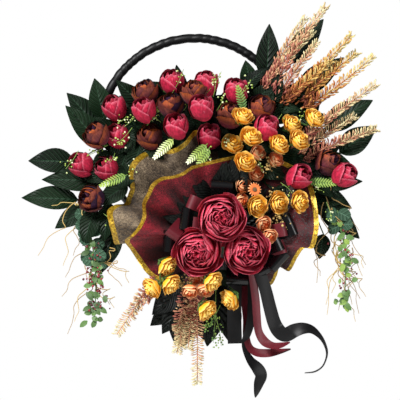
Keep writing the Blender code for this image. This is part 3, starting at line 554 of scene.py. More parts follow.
ROSE_RINGS = (
    (5, 0.98, 50, 106, 0.0, 0.24, 0.03, 0.16, 1.0),
    (5, 0.92, 48, 118, 0.0, 0.26, 0.03, 0.08, 0.95),
    (5, 0.81, 46, 124, 0.05, 0.24, 0.04, 0.04, 1.0),
    (5, 0.69, 44, 127, 0.12, 0.22, 0.05, 0.0, 0.9),
    (6, 0.56, 38, 127, 0.21, 0.20, 0.06, 0.0, 0.95),
    (6, 0.43, 38, 126, 0.31, 0.18, 0.08, 0.0, 0.8),
    (5, 0.30, 42, 126, 0.41, 0.16, 0.08, 0.0, 0.85),
    (4, 0.18, 50, 128, 0.50, 0.12, 0.06, 0.0, 0.6),
)
BUTTERCUP_RINGS = (
    (5, 1.0, 44, 92, 0.0, 0.18, 0.04, 0.22, 0.8),
    (5, 0.86, 42, 108, 0.04, 0.18, 0.05, 0.12, 0.7),
    (5, 0.68, 42, 120, 0.14, 0.16, 0.06, 0.04, 0.9),
    (4, 0.46, 46, 126, 0.28, 0.14, 0.06, 0.0, 1.0),
    (3, 0.25, 56, 130, 0.46, 0.12, 0.04, 0.0, 0.6),
)
SPRAY_ROSE_RINGS = (
    (4, 1.0, 52, 104, 0.0, 0.24, 0.03, 0.14, 0.9),
    (4, 0.86, 48, 118, 0.04, 0.22, 0.04, 0.05, 0.8),
    (4, 0.66, 46, 126, 0.14, 0.20, 0.05, 0.0, 1.0),
    (3, 0.46, 48, 130, 0.26, 0.16, 0.05, 0.0, 0.6),
    (2, 0.26, 70, 132, 0.42, 0.14, 0.03, 0.0, 0.2),
)

# %% [markdown]
# Three castings of each head are made once, and every flower is one of them rolled about its stem, so
# no two neighbours look the same and the wreath stays light.

# %% Head templates
CASTINGS = 3


def head_templates(name, rings, tall, sepals, across=6, along=7, change=0.15):
    """Three different heads of unit radius."""
    made = []
    for seed in range(CASTINGS):
        bm = new_mesh()
        add_bloom(bm, rings, tall, seed + 11, across, along, change)
        add_calyx(bm, *sepals)
        made.append(keep(bm, name))
    return made


BUDS = head_templates("bud head", BUD_RINGS, 1.22, (4, 15, 62), 8, 9, 0.3)
PEONIES = head_templates("peony head", PEONY_RINGS, 1.1, (4, 15, 60), 8, 8, 0.5)
ROSES = head_templates("rose head", ROSE_RINGS, 0.8, (5, 14, 58), 9, 9, 0.3)
BUTTERCUPS = head_templates("buttercup head", BUTTERCUP_RINGS, 0.8, (5, 14, 50))
SPRAY_ROSES = head_templates("spray rose head", SPRAY_ROSE_RINGS, 0.95, (5, 16, 60))
print("faces in a bud, a peony, a rose:", *(len(kind[0].polygons) for kind in (BUDS, PEONIES, ROSES)))

# %% [markdown]
# ## Heads on their stems
# Each head's solid says how far out it stands. It faces the viewer, leaning away from the heart of
# the bouquet as wired stems do, and its stem runs back to the foam in one easy curve.

# %% Placing heads
HEART = (47, -175)    # the middle of the bow and of both collars, x and z in mm


def front_of(node, x, z, radius):
    """How far out, in mm, a node's solid reaches within radius of x, z."""
    spot = at(x, 0, z)
    near = [v.co.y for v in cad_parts[node].data.vertices
            if math.hypot(v.co.x - spot.x, v.co.z - spot.z) < radius / 1000]
    return -1000 * min(near)


def leaning(x, z, more=0.0):
    """The way that a head at x, z faces."""
    return Vector(((x - 10) / 230, -0.85, (z + 60) / 170 + 0.34 + more)).normalized()


def add_head(bm, heads, x, z, out, radius, seed, face=None, size=1.0):
    """One head and its stem, which bends back to the foam."""
    centre, axis = at(x, out, z), face or leaning(x, z)
    stamp(bm, heads[seed % CASTINGS], stand(centre, axis, size * radius / 1000, seed * 2.1))
    foot = at(x * 0.82 + 4, 30, (z + 20) * 0.86 - 16)
    base = centre - axis * radius * 0.001
    add_stem(bm, [foot, (foot + base) / 2 + Vector((0, 0.006, -0.004)), base - axis * 0.006, base],
             0.0016, 0.0016, 0.3, 1)


RED_PEONIES = ((-40, 91), (21, 90), (72, 76), (-142, 46), (-89, 42), (12, 45), (124, 11), (-137, -3),
               (-200, -54), (-32, 13), (262, -72), (182, -75), (25, -4), (-156, -60))
DARK_PEONIES = ((-88, 73), (-2, 72), (-42, 50), (117, 46), (60, 33), (235, -50), (-173, -3), (-80, -4),
                (-182, -114))
for kind, places, radius, heads, paint in (("red_peony", RED_PEONIES, 21, BUDS, RED),
                                           ("dark_peony", DARK_PEONIES, 23, PEONIES, DARK)):
    for number, (x, z) in enumerate(places, 1):
        node = f"{kind}_{number:02d}"
        bm = new_mesh()
        out = front_of(node, x, z, radius * 0.7) - radius * 0.95
        add_head(bm, heads, x, z, out, radius, number * 7, leaning(x, z, 0.3))
        piece(f"bloom_{node}", bm, [paint, STEM], f"{kind}_petals", [node])

# %% Roses
for number, (side, x, z) in enumerate((("left", 5, -207), ("right", 89, -204), ("top", 46, -147))):
    bm = new_mesh()
    out = front_of(f"rose_{side}", x, z, 20) - 36
    stamp(bm, ROSES[number], stand(at(x, out, z), ((x - 40) / 300, -0.97, (z + 150) / 500), 0.0395, number))
    halfway = at((x + HEART[0]) / 2, 40, (z + HEART[1]) / 2)
    add_stem(bm, [halfway, at(x, out - 37, z)], 0.003, 0.003, 0.2, 1)
    piece(f"bloom_rose_{side}", bm, [ROSE, STEM], "rose_petals", [f"rose_{side}"])

# %% [markdown]
# ## Sprays of small flowers
# Ranunculus and spray roses come several to a branch. Each branch is one piece: a forked stem with a
# head at every end. The lowest ranunculus turn aside and down, so that their backs show.

# %% Sprays
RANUNCULUS = {
    "upper_left": ((84, 31), (98, -5), (66, -17), (88, -49)),
    "upper_right": ((171, 17), (210, 28), (182, -10), (147, -18)),
    "middle": ((147, -121), (184, -119), (110, -127)),
    "lower_left": ((-46, -233), (-76, -270), (-40, -264)),
    "lower_right": ((33, -259), (58, -291), (23, -309)),
}
SPRAY_ROSE_PLACES = {
    "upper": ((111, -33), (142, -45), (107, -70)),
    "middle": ((84, -90), (82, -118), (120, -158), (130, -180)),
    "lower": ((3, -253), (18, -274), (-8, -276)),
}
for kind, sprays, radius, heads, paint, slot in (
    ("ranunculus", RANUNCULUS, 16.5, BUTTERCUPS, YELLOW, "yellow_petals"),
    ("mini_roses", SPRAY_ROSE_PLACES, 12.5, SPRAY_ROSES, PEACH, "peach_petals"),
):
    for name, places in sprays.items():
        node, bm = f"{kind}_{name}", new_mesh()
        for number, (x, z) in enumerate(places):
            out = front_of(node, x, z, radius * 0.7) - radius * 0.85
            face = leaning(x, z)
            if kind == "ranunculus" and name.startswith("lower"):
                face = Vector(((-1) ** number * 0.75, -0.4, -0.55)).normalized()
            add_head(bm, heads, x, z, out, radius, number * 5 + len(name), face, 1.08)
        piece(f"spray_{node}", bm, [paint, STEM], slot, [node])


# %% [markdown]
# ## Large leaves
# Each fan is a branch with pointed oval leaves 75 to 110 mm long and 30 to 56 mm wide. A leaf is one
# sheet: widest a little before the middle, folded along the midrib and bowed towards its tip. The
# belly of its outline moves that widest place, and a blunt of under one rounds the tip.

# %% Leaves


def leaf_rule(root, tip, width, facing, fold=0.25, bow=0.10, belly=0.76, blunt=0.95):
    """The rule of one leaf from root to tip, in metres, that faces a given way."""
    run = tip - root
    side = run.cross(facing).normalized()
    up = side.cross(run).normalized()

    def rule(u, v):
        half = width / 2 * max(0.0, math.sin(math.pi * v ** belly)) ** blunt + 0.0006
        lift = fold * abs(u) * half + bow * run.length * math.sin(math.pi * v) - 0.02 * run.length * v * v
        wave = 0.03 * width * math.sin(9 * v + 2 * u) * abs(u)
        return root + run * v + side * u * half + up * (lift + wave)
    return rule


def add_leaf(bm, root, tip, width, tone, facing=(0, -1, 0.12), fold=0.25, bow=0.10):
    """One large leaf in a bmesh."""
    rule = leaf_rule(root, tip, width, Vector(facing), fold, bow)
    add_sheet(bm, 6, 12, rule, tone)


LEAF_FANS = {
    # fan: root (x, z), then each leaf as tip x, z, foot x, z, width and how far out
    "left": ((-150, -18), (
        (-177, 98, -160, 24, 40, 30), (-226, 73, -168, 6, 42, 24), (-228, 50, -160, -24, 42, 34),
        (-294, -47, -212, -50, 44, 26), (-270, -80, -160, -84, 42, 34), (-306, -112, -206, -116, 42, 24),
        (-247, -166, -184, -130, 36, 32))),
    "right": ((152, -8), (
        (262, 135, 180, 70, 42, 26), (313, 60, 228, 8, 46, 24), (320, 14, 254, -34, 44, 32),
        (276, -131, 212, -100, 34, 30), (290, -184, 220, -124, 42, 24), (219, -220, 226, -176, 30, 32),
        (200, -96, 140, -60, 36, 34))),
    "top": ((104, 70), (
        (89, 130, 98, 80, 30, 22), (131, 194, 126, 92, 41, 26), (226, 203, 170, 124, 44, 20),
        (-33, 122, -20, 60, 26, 20))),
    "black": ((27, -225), (
        (-62, -290, 0, -230, 40, 24), (-79, -338, -18, -290, 42, 18), (-34, -374, -14, -300, 46, 26),
        (16, -364, 14, -300, 44, 32), (40, -350, 30, -280, 44, 24), (62, -352, 52, -270, 44, 18),
        (-40, -352, -10, -270, 46, 14), (0, -350, 20, -262, 48, 12), (-66, -322, -20, -250, 44, 14),
        (30, -366, 34, -290, 44, 10), (62, -368, 60, -290, 40, 12), (-76, -318, 0, -252, 56, 34),
        (-58, -352, 0, -262, 56, 30), (-22, -376, 8, -272, 56, 36), (22, -374, 30, -272, 56, 30),
        (60, -366, 48, -262, 50, 26), (-80, -288, -14, -240, 50, 28))),
}
for fan, (root, leaves) in LEAF_FANS.items():
    bm = new_mesh()
    dice = random.Random(fan)
    for tip_x, tip_z, foot_x, foot_z, width, out in leaves:
        foot, tip = at(foot_x, out, foot_z), at(tip_x, out + 2, tip_z)
        add_leaf(bm, foot, tip, width / 1000, dice.random(), (dice.uniform(-0.3, 0.3), -1, 0.2), 0.3, 0.06)
        start = at(root[0], 22, root[1])
        bend = (start + foot) / 2 + Vector((0, -0.004, 0.003))
        add_stem(bm, [start, bend, foot, foot + (tip - foot) * 0.1], 0.0014, 0.001, 0.2, 1, 5, 6)
    paint = BLACK_LEAF if fan == "black" else GREEN_LEAF
    slot = "black_leaves" if fan == "black" else "green_leaves"
    piece(f"leaves_{fan}", bm, [paint, STEM], slot, [f"leaf_fan_{fan}"])

# %% [markdown]
# ## Filling leaves
# Between the heads the foam never shows, because a florist greens it first: short leaves pushed in
# all over it, each pointing outwards. They are scattered with a seeded dice, so each run is the same.

# %% Filling leaves
bm, dice = new_mesh(), random.Random(5)
count = 0
while count < 150:
    x, z = dice.uniform(-190, 270), dice.uniform(-130, 100)
    if ((x - 25) / 190) ** 2 + ((z - 10) / 92) ** 2 > 1 and ((x - 185) / 75) ** 2 + ((z + 90) / 80) ** 2 > 1:
        continue
    if math.hypot(x - 20, z + 150) < 120 and x < 60:
        continue
    way = math.atan2(z + 60, x - 10) + dice.uniform(-0.9, 0.9)
    reach = dice.uniform(44, 66)
    root = at(x * 0.9, dice.uniform(26, 36), z * 0.9)
    tip = root + Vector((math.cos(way) * reach, -dice.uniform(4, 20), math.sin(way) * reach)) / 1000
    tip.y = root.y - dice.uniform(4, 22) / 1000
    if tip.z > MIDDLE.z + 0.098 and tip.x < 0.11:
        continue
    add_leaf(bm, root, tip, dice.uniform(24, 32) / 1000, dice.random(),
             (dice.uniform(-0.4, 0.4), -1, dice.uniform(-0.1, 0.5)))
    count += 1
for x, z, tip_x, tip_z in (
    (40, -262, 58, -240), (14, -236, 20, -262), (70, -240, 92, -262), (110, -52, 160, -80),
    (160, -84, 200, -60), (-118, -88, -172, -126), (-120, -30, -136, -84), (-96, -20, -112, -74),
    (-112, 4, -150, -40), (-150, -30, -176, -80), (-104, -52, -140, -100), (-130, 10, -110, -40),
    (-60, -4, -92, -46), (-150, -120, -160, -190), (-176, -130, -196, -196), (-140, -60, -190, -84),
):
    add_leaf(bm, at(x, 50, z), at(tip_x, 56, tip_z), 0.034, 0.6)
add_leaf(bm, at(-138, 30, -158), at(-166, 24, -246), 0.042, 0.2)
piece("leaves_filling", bm, [GREEN_LEAF], "green_leaves")

# %% Dark leaves in the throat
bm, dice = new_mesh(), random.Random(9)
for number in range(26):
    angle = math.radians(dice.choice((dice.uniform(30, 140), dice.uniform(-50, 230))))
    way, reach = Vector((math.cos(angle), 0, math.sin(angle))), dice.uniform(0.066, 0.092)
    root = at(HEART[0], dice.uniform(46, 52), HEART[1]) + way * 0.026
    shorter = 1.0 if math.sin(angle) > 0 else 0.8
    tip = root + way * reach * shorter - Vector((0, dice.uniform(0.008, 0.02), 0))
    add_leaf(bm, root, tip, 0.032, dice.random(), (dice.uniform(-0.4, 0.4), -1, dice.uniform(-0.2, 0.4)))
for foot_x, tip_x, tip_z in ((30, -8, -70), (40, 14, -52), (52, 40, -42), (58, 66, -44), (66, 88, -58),
                             (36, 4, -62), (48, 54, -50)):
    add_leaf(bm, at(foot_x, 62, -112), at(tip_x, 76, tip_z), 0.034, dice.random())
piece("leaves_throat", bm, [BLACK_LEAF], "black_leaves")

# %% [markdown]
# ## Net collars
# A frilled collar starts as a long strip of net gathered round the bow, so it is tight pleats at the
# mouth and big waves at the rim, with a gold band bound along it. The rim's course is a list of
# places; each rib of the sheet runs from the mouth to it, and fine pleats fade on the way.

# %% Collars
OUTER_RIM = ((40, 40, -22), (22, 44, -4), (0, 54, 6), (-18, 66, -14), (-40, 52, -27), (-70, 46, -29),
             (-90, 62, -33), (-108, 80, -48), (-116, 70, -66), (-113, 54, -91), (-119, 46, -110),
             (-124, 50, -122), (-141, 62, -125), (-153, 80, -136), (-150, 90, -156), (-145, 78, -176),
             (-140, 60, -194), (-124, 44, -190), (-111, 40, -208), (-98, 44, -228), (-82, 46, -248),
             (-60, 44, -262))
INNER_RIM = ((110, 58, -40), (95, 60, -34), (77, 66, -37), (36, 84, -46), (-4, 98, -57), (-22, 88, -68),
             (-40, 80, -74), (-60, 84, -77), (-76, 96, -89), (-83, 98, -104), (-92, 84, -122),
             (-92, 72, -145), (-101, 84, -165), (-112, 104, -178), (-122, 96, -188), (-112, 74, -204),
             (-97, 62, -226), (-81, 58, -246), (-60, 54, -258), (-35, 48, -266), (0, 46, -262),
             (50, 44, -254), (100, 44, -260), (131, 48, -267), (143, 60, -250), (149, 62, -234),
             (166, 56, -241), (180, 66, -216), (191, 74, -201), (207, 74, -200), (214, 84, -176),
             (216, 78, -150), (208, 70, -99), (192, 62, -70), (160, 60, -50), (130, 58, -42))


WAVES, PLEATS = 13, 34    # the rim's big waves and the mouth's fine pleats, once round


def big_wave(around, v):
    """How far the big folds lean out, -1 to 1, at an angle round the bow and a share of the way out."""
    return math.sin(WAVES * around + 1.4 * v) * math.sin(math.pi * v ** 0.8)


def collar_rule(rim, mouth):
    """Ribs from a mouth round the bow out to the rim, and the painted shade: how much light reaches each
    place.
    """
    middle = at(HEART[0], 40, HEART[1])
    ring = [at(*spot) for spot in rim]
    level = sum(spot.y for spot in ring) / len(ring)

    def rule(u, v):
        far = on_line(ring, (u + 1) / 2)
        way = Vector((far.x - middle.x, 0, far.z - middle.z))
        near = middle + way.normalized() * mouth
        around = math.atan2(way.z, way.x)
        out = near.y + (far.y - near.y) * v ** 1.15 + 0.5 * (far.y - level) * v ** 1.5
        out += 0.0024 * (1 - v) ** 0.7 * math.sin(PLEATS * around) * min(1, v * 6)
        out += 0.0066 * big_wave(around, v) + 0.0016 * math.sin(3 * PLEATS / 4 * around + 5 * v) * v
        return Vector((near.x + (far.x - near.x) * v, out, near.z + (far.z - near.z) * v))

    # Painted shade for the net's colour: darker at the mouth, where the big waves and the rim lie back, and
    # on the right side, away from the key light.
    def shade(u, v):
        far = on_line(ring, (u + 1) / 2)
        around = math.atan2(far.z - middle.z, far.x - middle.x)
        ridge = (level - far.y) / 0.05 + 0.5 - 0.6 * big_wave(around, v)
        lit = (0.3 + 0.75 * min(1, max(0, ridge))) * (0.86 - 0.26 * math.cos(around))
        return min(1, max(0, 0.04 + 1.2 * v ** 0.9 * lit))
    return rule, shade


for name, rim, mouth, paint, slot in (("outer", OUTER_RIM, 0.040, BROWN_NET, "brown_net"),
                                      ("inner", INNER_RIM, 0.036, WINE_NET, "burgundy_net")):
    bm = new_mesh()
    length = sum((at(*a) - at(*b)).length for a, b in zip(rim, rim[1:]))
    rule, shade = collar_rule(rim, mouth)
    # The sheet carries the painted shade from collar_rule as its tone.
    add_sheet(bm, 40 + len(rim) * 8, 32, rule, shade, 0, (length * 100, 14))
    layer = bm.loops.layers.uv["cloth"]
    for face in bm.faces:
        if max(corner[layer].uv.y for corner in face.loops) > 13.5:
            face.material_index = 1
    made = piece(f"collar_{name}", bm, [paint, GOLD_EDGE], slot, [f"net_collar_{name}"])

# %% [markdown]
# ## Bow loops
# A florist's bow is ribbon folded to and fro through one twist of wire, so every loop is a strip that
# comes up from the knot, turns over and goes back. Seen from in front each shows its rounded end,
# one ribbon wide, with the satin's bright band along it. A loop's rule is a drop shape pushed along
# the ribbon's width.

# %% Bow
RIBBONS = {
    # ribbon: its satin in the bow, in the tails, its slot, and its width in the bow in metres
    "black": (BLACK_SATIN, WORN_SATIN, "black_satin", 0.038),
    "burgundy": (WINE_SATIN, WINE_SATIN, "burgundy_ribbon", 0.024),
}
BOWS = {
    # bow: knot, then each loop as x, out, z, turn of its width in degrees, and radius
    "black": ((47, 44, -188), (
        (47, 80, -93, -4, 12), (-14, 80, -150, 82, 12), (-44, 74, -188, 88, 12), (140, 74, -188, -66, 12),
        (145, 68, -222, 48, 11), (74, 58, -256, -3, 10), (112, 58, -244, 28, 9), (166, 70, -160, -66, 8))),
    "burgundy": ((47, 44, -168), (
        (-3, 84, -121, 68, 10), (-38, 84, -176, -34, 9), (0, 78, -158, 84, 10), (152, 78, -168, -78, 8),
        (150, 74, -198, -70, 8))),
}


def loop_rule(knot, centre, angle, radius, width):
    """A strip from the knot round a bar at centre and back, its width laid along angle."""
    bar = Vector((math.cos(angle), 0, math.sin(angle)))
    back = knot - centre
    back -= bar * back.dot(bar) * 0.9
    down = back.normalized()
    across = bar.cross(down).normalized()
    stretch = min(back.length, 0.05)

    def rule(u, v):
        swing = math.pi * (2 * v - 1) * 0.97
        reach = max(0.0, abs(2 * v - 1) - 0.5) * 2
        round_it = across * math.sin(swing) * radius * (1 - 0.3 * reach) - down * math.cos(swing) * radius
        return centre + round_it + down * reach * (stretch - radius) + bar * u * width / 2
    return rule


for name, (knot, loops) in BOWS.items():
    bm = new_mesh()
    fresh, worn, slot, width = RIBBONS[name]
    for x, out, z, angle, radius in loops:
        rule = loop_rule(at(*knot), at(x, out, z), math.radians(angle), radius / 1000, width)
        add_sheet(bm, 6, 40, rule, 0.5, 0, (width * 100, 11))
    made = piece(f"ribbon_loops_{name}", bm, [fresh], slot, [f"bow_{name}"])

# %% [markdown]
# ## Ribbon tails
# The tails hang from the knot and swing together. Each follows a list of places with half the width
# that it shows: where it shows less than its real width, it is turned edge-on by that much.

# %% Tails
TAILS = {
    # tail: half the ribbon's width, depth, then x, z and half the width that shows
    "black_panel": (12.5, 60, ((70, -246, 13), (69, -290, 12.5), (69, -330, 12.5), (70, -368, 12.5))),
    "black_long": (12.5, 66, ((112, -240, 10), (123, -272, 11), (131, -304, 11.5), (139, -332, 12),
                            (149, -348, 13), (160, -352, 13), (174, -345, 12), (189, -341, 10),
                            (204, -343, 7), (217, -353, 4.5), (226, -366, 3), (231, -382, 2.4),
                            (229, -396, 2), (222, -409, 2), (209, -417, 2), (192, -419, 1.4))),
    "black_short": (12.5, 54, ((100, -250, 8), (101, -298, 9), (99, -322, 8), (94, -345, 7), (88, -363, 6),
                             (88, -378, 5), (97, -397, 7), (110, -412, 10.5), (116, -424, 10.5),
                             (112, -438, 9), (108, -454, 5), (106, -463, 1.2))),
    "burgundy_left": (8.5, 50, ((90, -244, 8), (88, -288, 7.5), (91, -326, 7), (90, -354, 6),
                                (96, -375, 6), (109, -384, 7), (129, -385, 7), (149, -382, 4.5),
                                (168, -378, 1))),
    "burgundy_right": (8.5, 73, ((100, -244, 7), (106, -288, 7), (108, -316, 7), (111, -345, 7),
                                 (121, -363, 8), (136, -371, 6), (151, -370, 4.5), (166, -365, 1))),
}


def tail_rule(rows, half, out):
    """A ribbon through the rows that shows each row's half width."""
    line = [at(x, out, z) for x, z, shown in rows]
    shows = [Vector((shown, 0, 0)) for x, z, shown in rows]

    def rule(u, v):
        here = on_line(line, v)
        ahead = (on_line(line, min(1, v + 0.01)) - on_line(line, max(0, v - 0.01))).normalized()
        across = ahead.cross(Vector((0, -1, 0)))
        shown = max(0.5, min(half, on_line(shows, v).x))
        edge_on = math.sqrt(half * half - shown * shown)
        sag = Vector((0, 0.0012 * math.cos(math.pi * u / 2), 0))
        return here + (across * shown + Vector((0, -1, 0)) * edge_on * 0.8) * u / 1000 + sag
    return rule


for name, (half, out, rows) in TAILS.items():
    bm = new_mesh()
    line = [at(x, out, z) for x, z, shown in rows]
    length = sum((a - b).length for a, b in zip(line, line[1:]))
    add_sheet(bm, 6, len(rows) * 8, tail_rule(rows, half, out), 0.5, 0, (half / 5, length * 100))
    fresh, worn, slot, width = RIBBONS[name.split("_")[0]]
    made = piece(f"ribbon_{name}", bm, [worn], slot, [f"tail_{name}"], "ribbon_tails")

# %% [markdown]
# ## The bound ring
# Satin ribbon is wound round the rod at a slant, each turn lapping the last by a third, so the ring
# has a soft swelling every 18 mm. The rule is a tube whose radius grows and shrinks once along each
# turn, and the groove between two turns runs round the rod like a screw.

# %% Ring binding
RING, TURN = 170.0, 18.0          # the ring's radius and one turn of ribbon along it, in mm
START, SWEEP = 8.0, 164.0         # the bare arc, in degrees
bm = new_mesh()


def binding_rule(u, v):
    """A tube round the bare arc that swells once each turn, a little unevenly, as a hand winds it."""
    swept = math.radians(SWEEP * v)
    uneven = 0.35 * math.sin(17 * v) + 0.2 * math.sin(41 * v)
    step = (swept * RING / TURN + uneven + u / 2) % 1.0
    radius = 7.2 + 1.0 * math.sin(step * math.pi) + 0.15 * math.sin(9 * v * math.tau + math.pi * u)
    angle, off = math.radians(START) + swept, RING + radius * math.cos(math.pi * u)
    return at(off * math.cos(angle), -radius * math.sin(math.pi * u), off * math.sin(angle))


add_sheet(bm, 28, 430, binding_rule, 0.5, 0, (5, 48))
made = piece("ring_binding", bm, [WORN_SATIN], "black_satin", ["hoop_satin_wrap"])
print("  binding", round(area_of(made), 4), "m2")

# %% [markdown]
# ## Heath plumes
# The tall plumes are moulded heath: every branch carries curved fingers with a blunt tip, in pairs
# like a comb and shorter towards the end. One finger is modelled and stamped many hundred times,
# and each stamp carries a tone, its share of the way along, which the material turns from pink or
# rust at the foot to cream at the tip.

# %% Plumes
bm = new_mesh()


def finger_rule(u, v):
    thick = 0.00105 * (1 if v < 0.5 else 1 + 1.5 * math.sin(math.pi * (v - 0.5))) * (1 - v ** 9)
    return Vector((math.cos(math.pi * u) * thick, math.sin(math.pi * u) * thick + 0.006 * v * v, 0.0165 * v))


add_sheet(bm, 4, 6, finger_rule, sew=True)
FINGER = keep(bm, "heath finger")
PLUMES = {
    # plume: its pink branches and its rust ones, each as root, middle and tip (x, out, z)
    "top": (
        (((128, 40, 60), (176, 56, 150), (229, 62, 222)), ((112, 40, 74), (150, 50, 120), (206, 58, 178)),
         ((140, 44, 60), (176, 54, 110), (214, 56, 160)), ((120, 42, 70), (152, 50, 136), (193, 58, 202))),
        (((150, 44, 54), (214, 60, 110), (274, 66, 172)), ((176, 44, 52), (230, 56, 100), (284, 48, 142)),
         ((150, 40, 48), (186, 62, 84), (240, 62, 128)), ((186, 44, 44), (240, 58, 76), (312, 52, 134)))),
    "right": (
        (((160, 44, -34), (236, 62, 28), (317, 72, 86)), ((180, 44, -48), (250, 58, -16), (318, 60, 8)),
         ((172, 44, -40), (220, 52, -6), (280, 54, 30))), ()),
    "lower": (
        (((-2, 40, -262), (-16, 52, -320), (-32, 54, -384)), ((4, 40, -266), (4, 56, -340), (4, 52, -440)),
         ((-8, 44, -268), (-26, 56, -326), (-24, 56, -374)), ((6, 44, -268), (-6, 56, -320), (-12, 58, -378)),
         ((-56, 44, -266), (-100, 56, -300), (-137, 58, -352)),
         ((-60, 44, -256), (-88, 52, -278), (-112, 54, -318))), ()),
}


def add_branch(bm, line, rust, dice):
    """A stem with fingers every 3.4 mm: one to each side and one at random."""
    length = (line[0] - line[1]).length + (line[1] - line[2]).length
    add_stem(bm, line, 0.0018, 0.0008, 0.35, rust, 5, 12)
    steps = int(length * 1000 / 3.4)
    for i in range(steps):
        share = 0.08 + 0.92 * i / steps
        here = on_line(line, share)
        ahead = (on_line(line, min(1, share + 0.02)) - on_line(line, share - 0.02)).normalized()
        for roll in (-1.57, 1.57, dice.uniform(-1.2, 1.2)):
            turn = Matrix.Rotation(roll + dice.uniform(-0.6, 0.6), 3, ahead)
            aside = turn @ ahead.cross(Vector((0, -1, 0))).cross(ahead).normalized()
            axis = (aside + ahead * dice.uniform(0.6, 1.0)).normalized()
            size = (1.05 - 0.45 * share) * dice.uniform(0.8, 1.15)
            stamp(bm, FINGER, stand(here, axis, size, dice.uniform(-0.6, 0.6)),
                  min(1, max(0, 0.05 + 0.95 * share + dice.uniform(-0.3, 0.3))), rust)


for name, groups in PLUMES.items():
    bm, dice = new_mesh(), random.Random(name)
    for rust, branches in enumerate(groups):
        for branch in branches:
            add_branch(bm, [at(*spot) for spot in branch], rust, dice)
    piece(f"plume_{name}", bm, [PINK_HEATH, RUST_HEATH], "heather", [f"heather_{name}"])

# %% [markdown]
# ## Trailing sprays
# Two sprays hang at the sides: round eucalyptus leaves in pairs on a drooping stem, small leaves,
# wine berries, and curly willow twigs thin as string. Each is one piece on its own body, so it can
# sway. The left one is full and dark; the right one is thin, sage green, and mostly twigs.

# %% Small templates
bm = new_mesh()
bmesh.ops.create_icosphere(bm, subdivisions=1, radius=1.0)
for face in bm.faces:
    face.smooth = True
BEAD = keep(bm, "bead")


def curl(start, end, swing, seed):
    """Places along a twig that wanders round the straight way from start to end."""
    dice = random.Random(seed)
    phase, spots = dice.uniform(0, 6.3), []
    run = end - start
    for i in range(14):
        share = i / 13
        wild = swing * math.sin(math.pi * min(1, share * 1.15) ** 0.8) * dice.uniform(0.5, 1.2)
        angle = phase + share * 1.56 * math.tau
        spots.append(start + run * share + Vector((math.cos(angle) * wild, 0.4 * math.sin(angle) * wild,
                                                   0.5 * math.sin(angle) * wild)))
    return spots


def add_twig(bm, start, end, swing, seed, tone):
    """A curly twig, 2 mm thick at its foot."""
    add_stem(bm, curl(start, end, swing, seed), 0.001, 0.00045, tone, 1, 5, 44)


# %% Parts of a trail
BERRY_SHARES = (0.3, 0.45, 0.55, 0.62, 0.7, 0.8)    # how far down the stem the berries cluster


def add_round_leaves(bm, line, pairs, dice):
    """Pairs of round leaves down a stem, smaller as they go."""
    for number in range(pairs):
        here = on_line(line, 0.03 + number * 0.085)
        for way in (-1, 1):
            reach = Vector((way * 0.017, -0.004 * way * (-1) ** number, dice.uniform(-0.012, 0.004)))
            facing = Vector((dice.uniform(-0.5, 0.5), -1, 0.3))
            rule = leaf_rule(here, here + reach * 1.3, 0.023 - number * 0.001, facing, 0.1, 0.05, 1.0, 0.5)
            add_sheet(bm, 6, 12, rule, 0.5 + dice.uniform(-0.3, 0.3))


def add_berries(bm, line, count, dice):
    """Berries 3 to 5 mm across in loose clusters; they are the only triangles here."""
    for number in range(count):
        share = dice.choice(BERRY_SHARES) + dice.uniform(-0.04, 0.04)
        off = Vector((dice.gauss(0, 0.009), dice.gauss(0, 0.005), dice.gauss(0, 0.006)))
        place = Matrix.Translation(on_line(line, share) + off)
        stamp(bm, BEAD, place @ Matrix.Scale(dice.uniform(0.0016, 0.0027), 4), dice.random())
    berries = [face for face in bm.faces if len(face.verts) == 3 and face.material_index == 0]
    for face in berries:
        face.material_index = 3


def add_leaflets(bm, line, count, tones, dice):
    """Small leaves all along a stem, with tones between two values."""
    for number in range(count):
        spot = on_line(line, dice.uniform(0.1, 1.0)) + Vector((dice.gauss(0, 0.006), 0, 0))
        reach = Vector((dice.uniform(-0.016, 0.016), dice.uniform(-0.006, 0.002),
                        dice.uniform(-0.016, 0.004)))
        rule = leaf_rule(spot, spot + reach, 0.0085, Vector((0, -1, 0.2)), 0.1, 0.1, 0.9, 0.6)
        add_sheet(bm, 2, 4, rule, dice.uniform(*tones), 2)


# %% Trails
TRAILS = {
    # side: knee, stem end, pairs of round leaves, berries, small leaves, their tones,
    # and twigs as start and end (x, z)
    "left": ((-190, 46, -140), (-176, 50, -330), 6, 90, 64, (0.1, 0.5), (
        (-186, -120, -252, -126), (-210, -120, -276, -214), (-196, -128, -232, -232),
        (-190, -130, -214, -214), (-180, -170, -228, -252), (-184, -200, -190, -262),
        (-176, -230, -224, -352), (-180, -240, -212, -330), (-170, -210, -128, -268),
        (-160, -220, -120, -240), (-176, -250, -150, -300), (-168, -262, -142, -306),
        (-150, -200, -116, -262), (-176, -216, -234, -286))),
    "right": ((250, 46, -134), (262, 50, -300), 3, 18, 40, (0.2, 0.66), (
        (238, -92, 288, -170), (230, -110, 300, -230), (240, -130, 294, -250), (250, -150, 288, -316),
        (252, -170, 232, -318), (246, -190, 268, -290), (226, -120, 214, -262), (214, -200, 220, -250),
        (256, -200, 230, -300), (260, -140, 250, -230), (262, -190, 286, -262), (256, -200, 276, -300),
        (268, -180, 262, -270), (250, -210, 290, -290), (272, -196, 240, -280), (264, -220, 300, -286),
        (258, -240, 282, -330), (270, -170, 296, -236), (246, -150, 262, -250), (276, -200, 252, -310))),
}
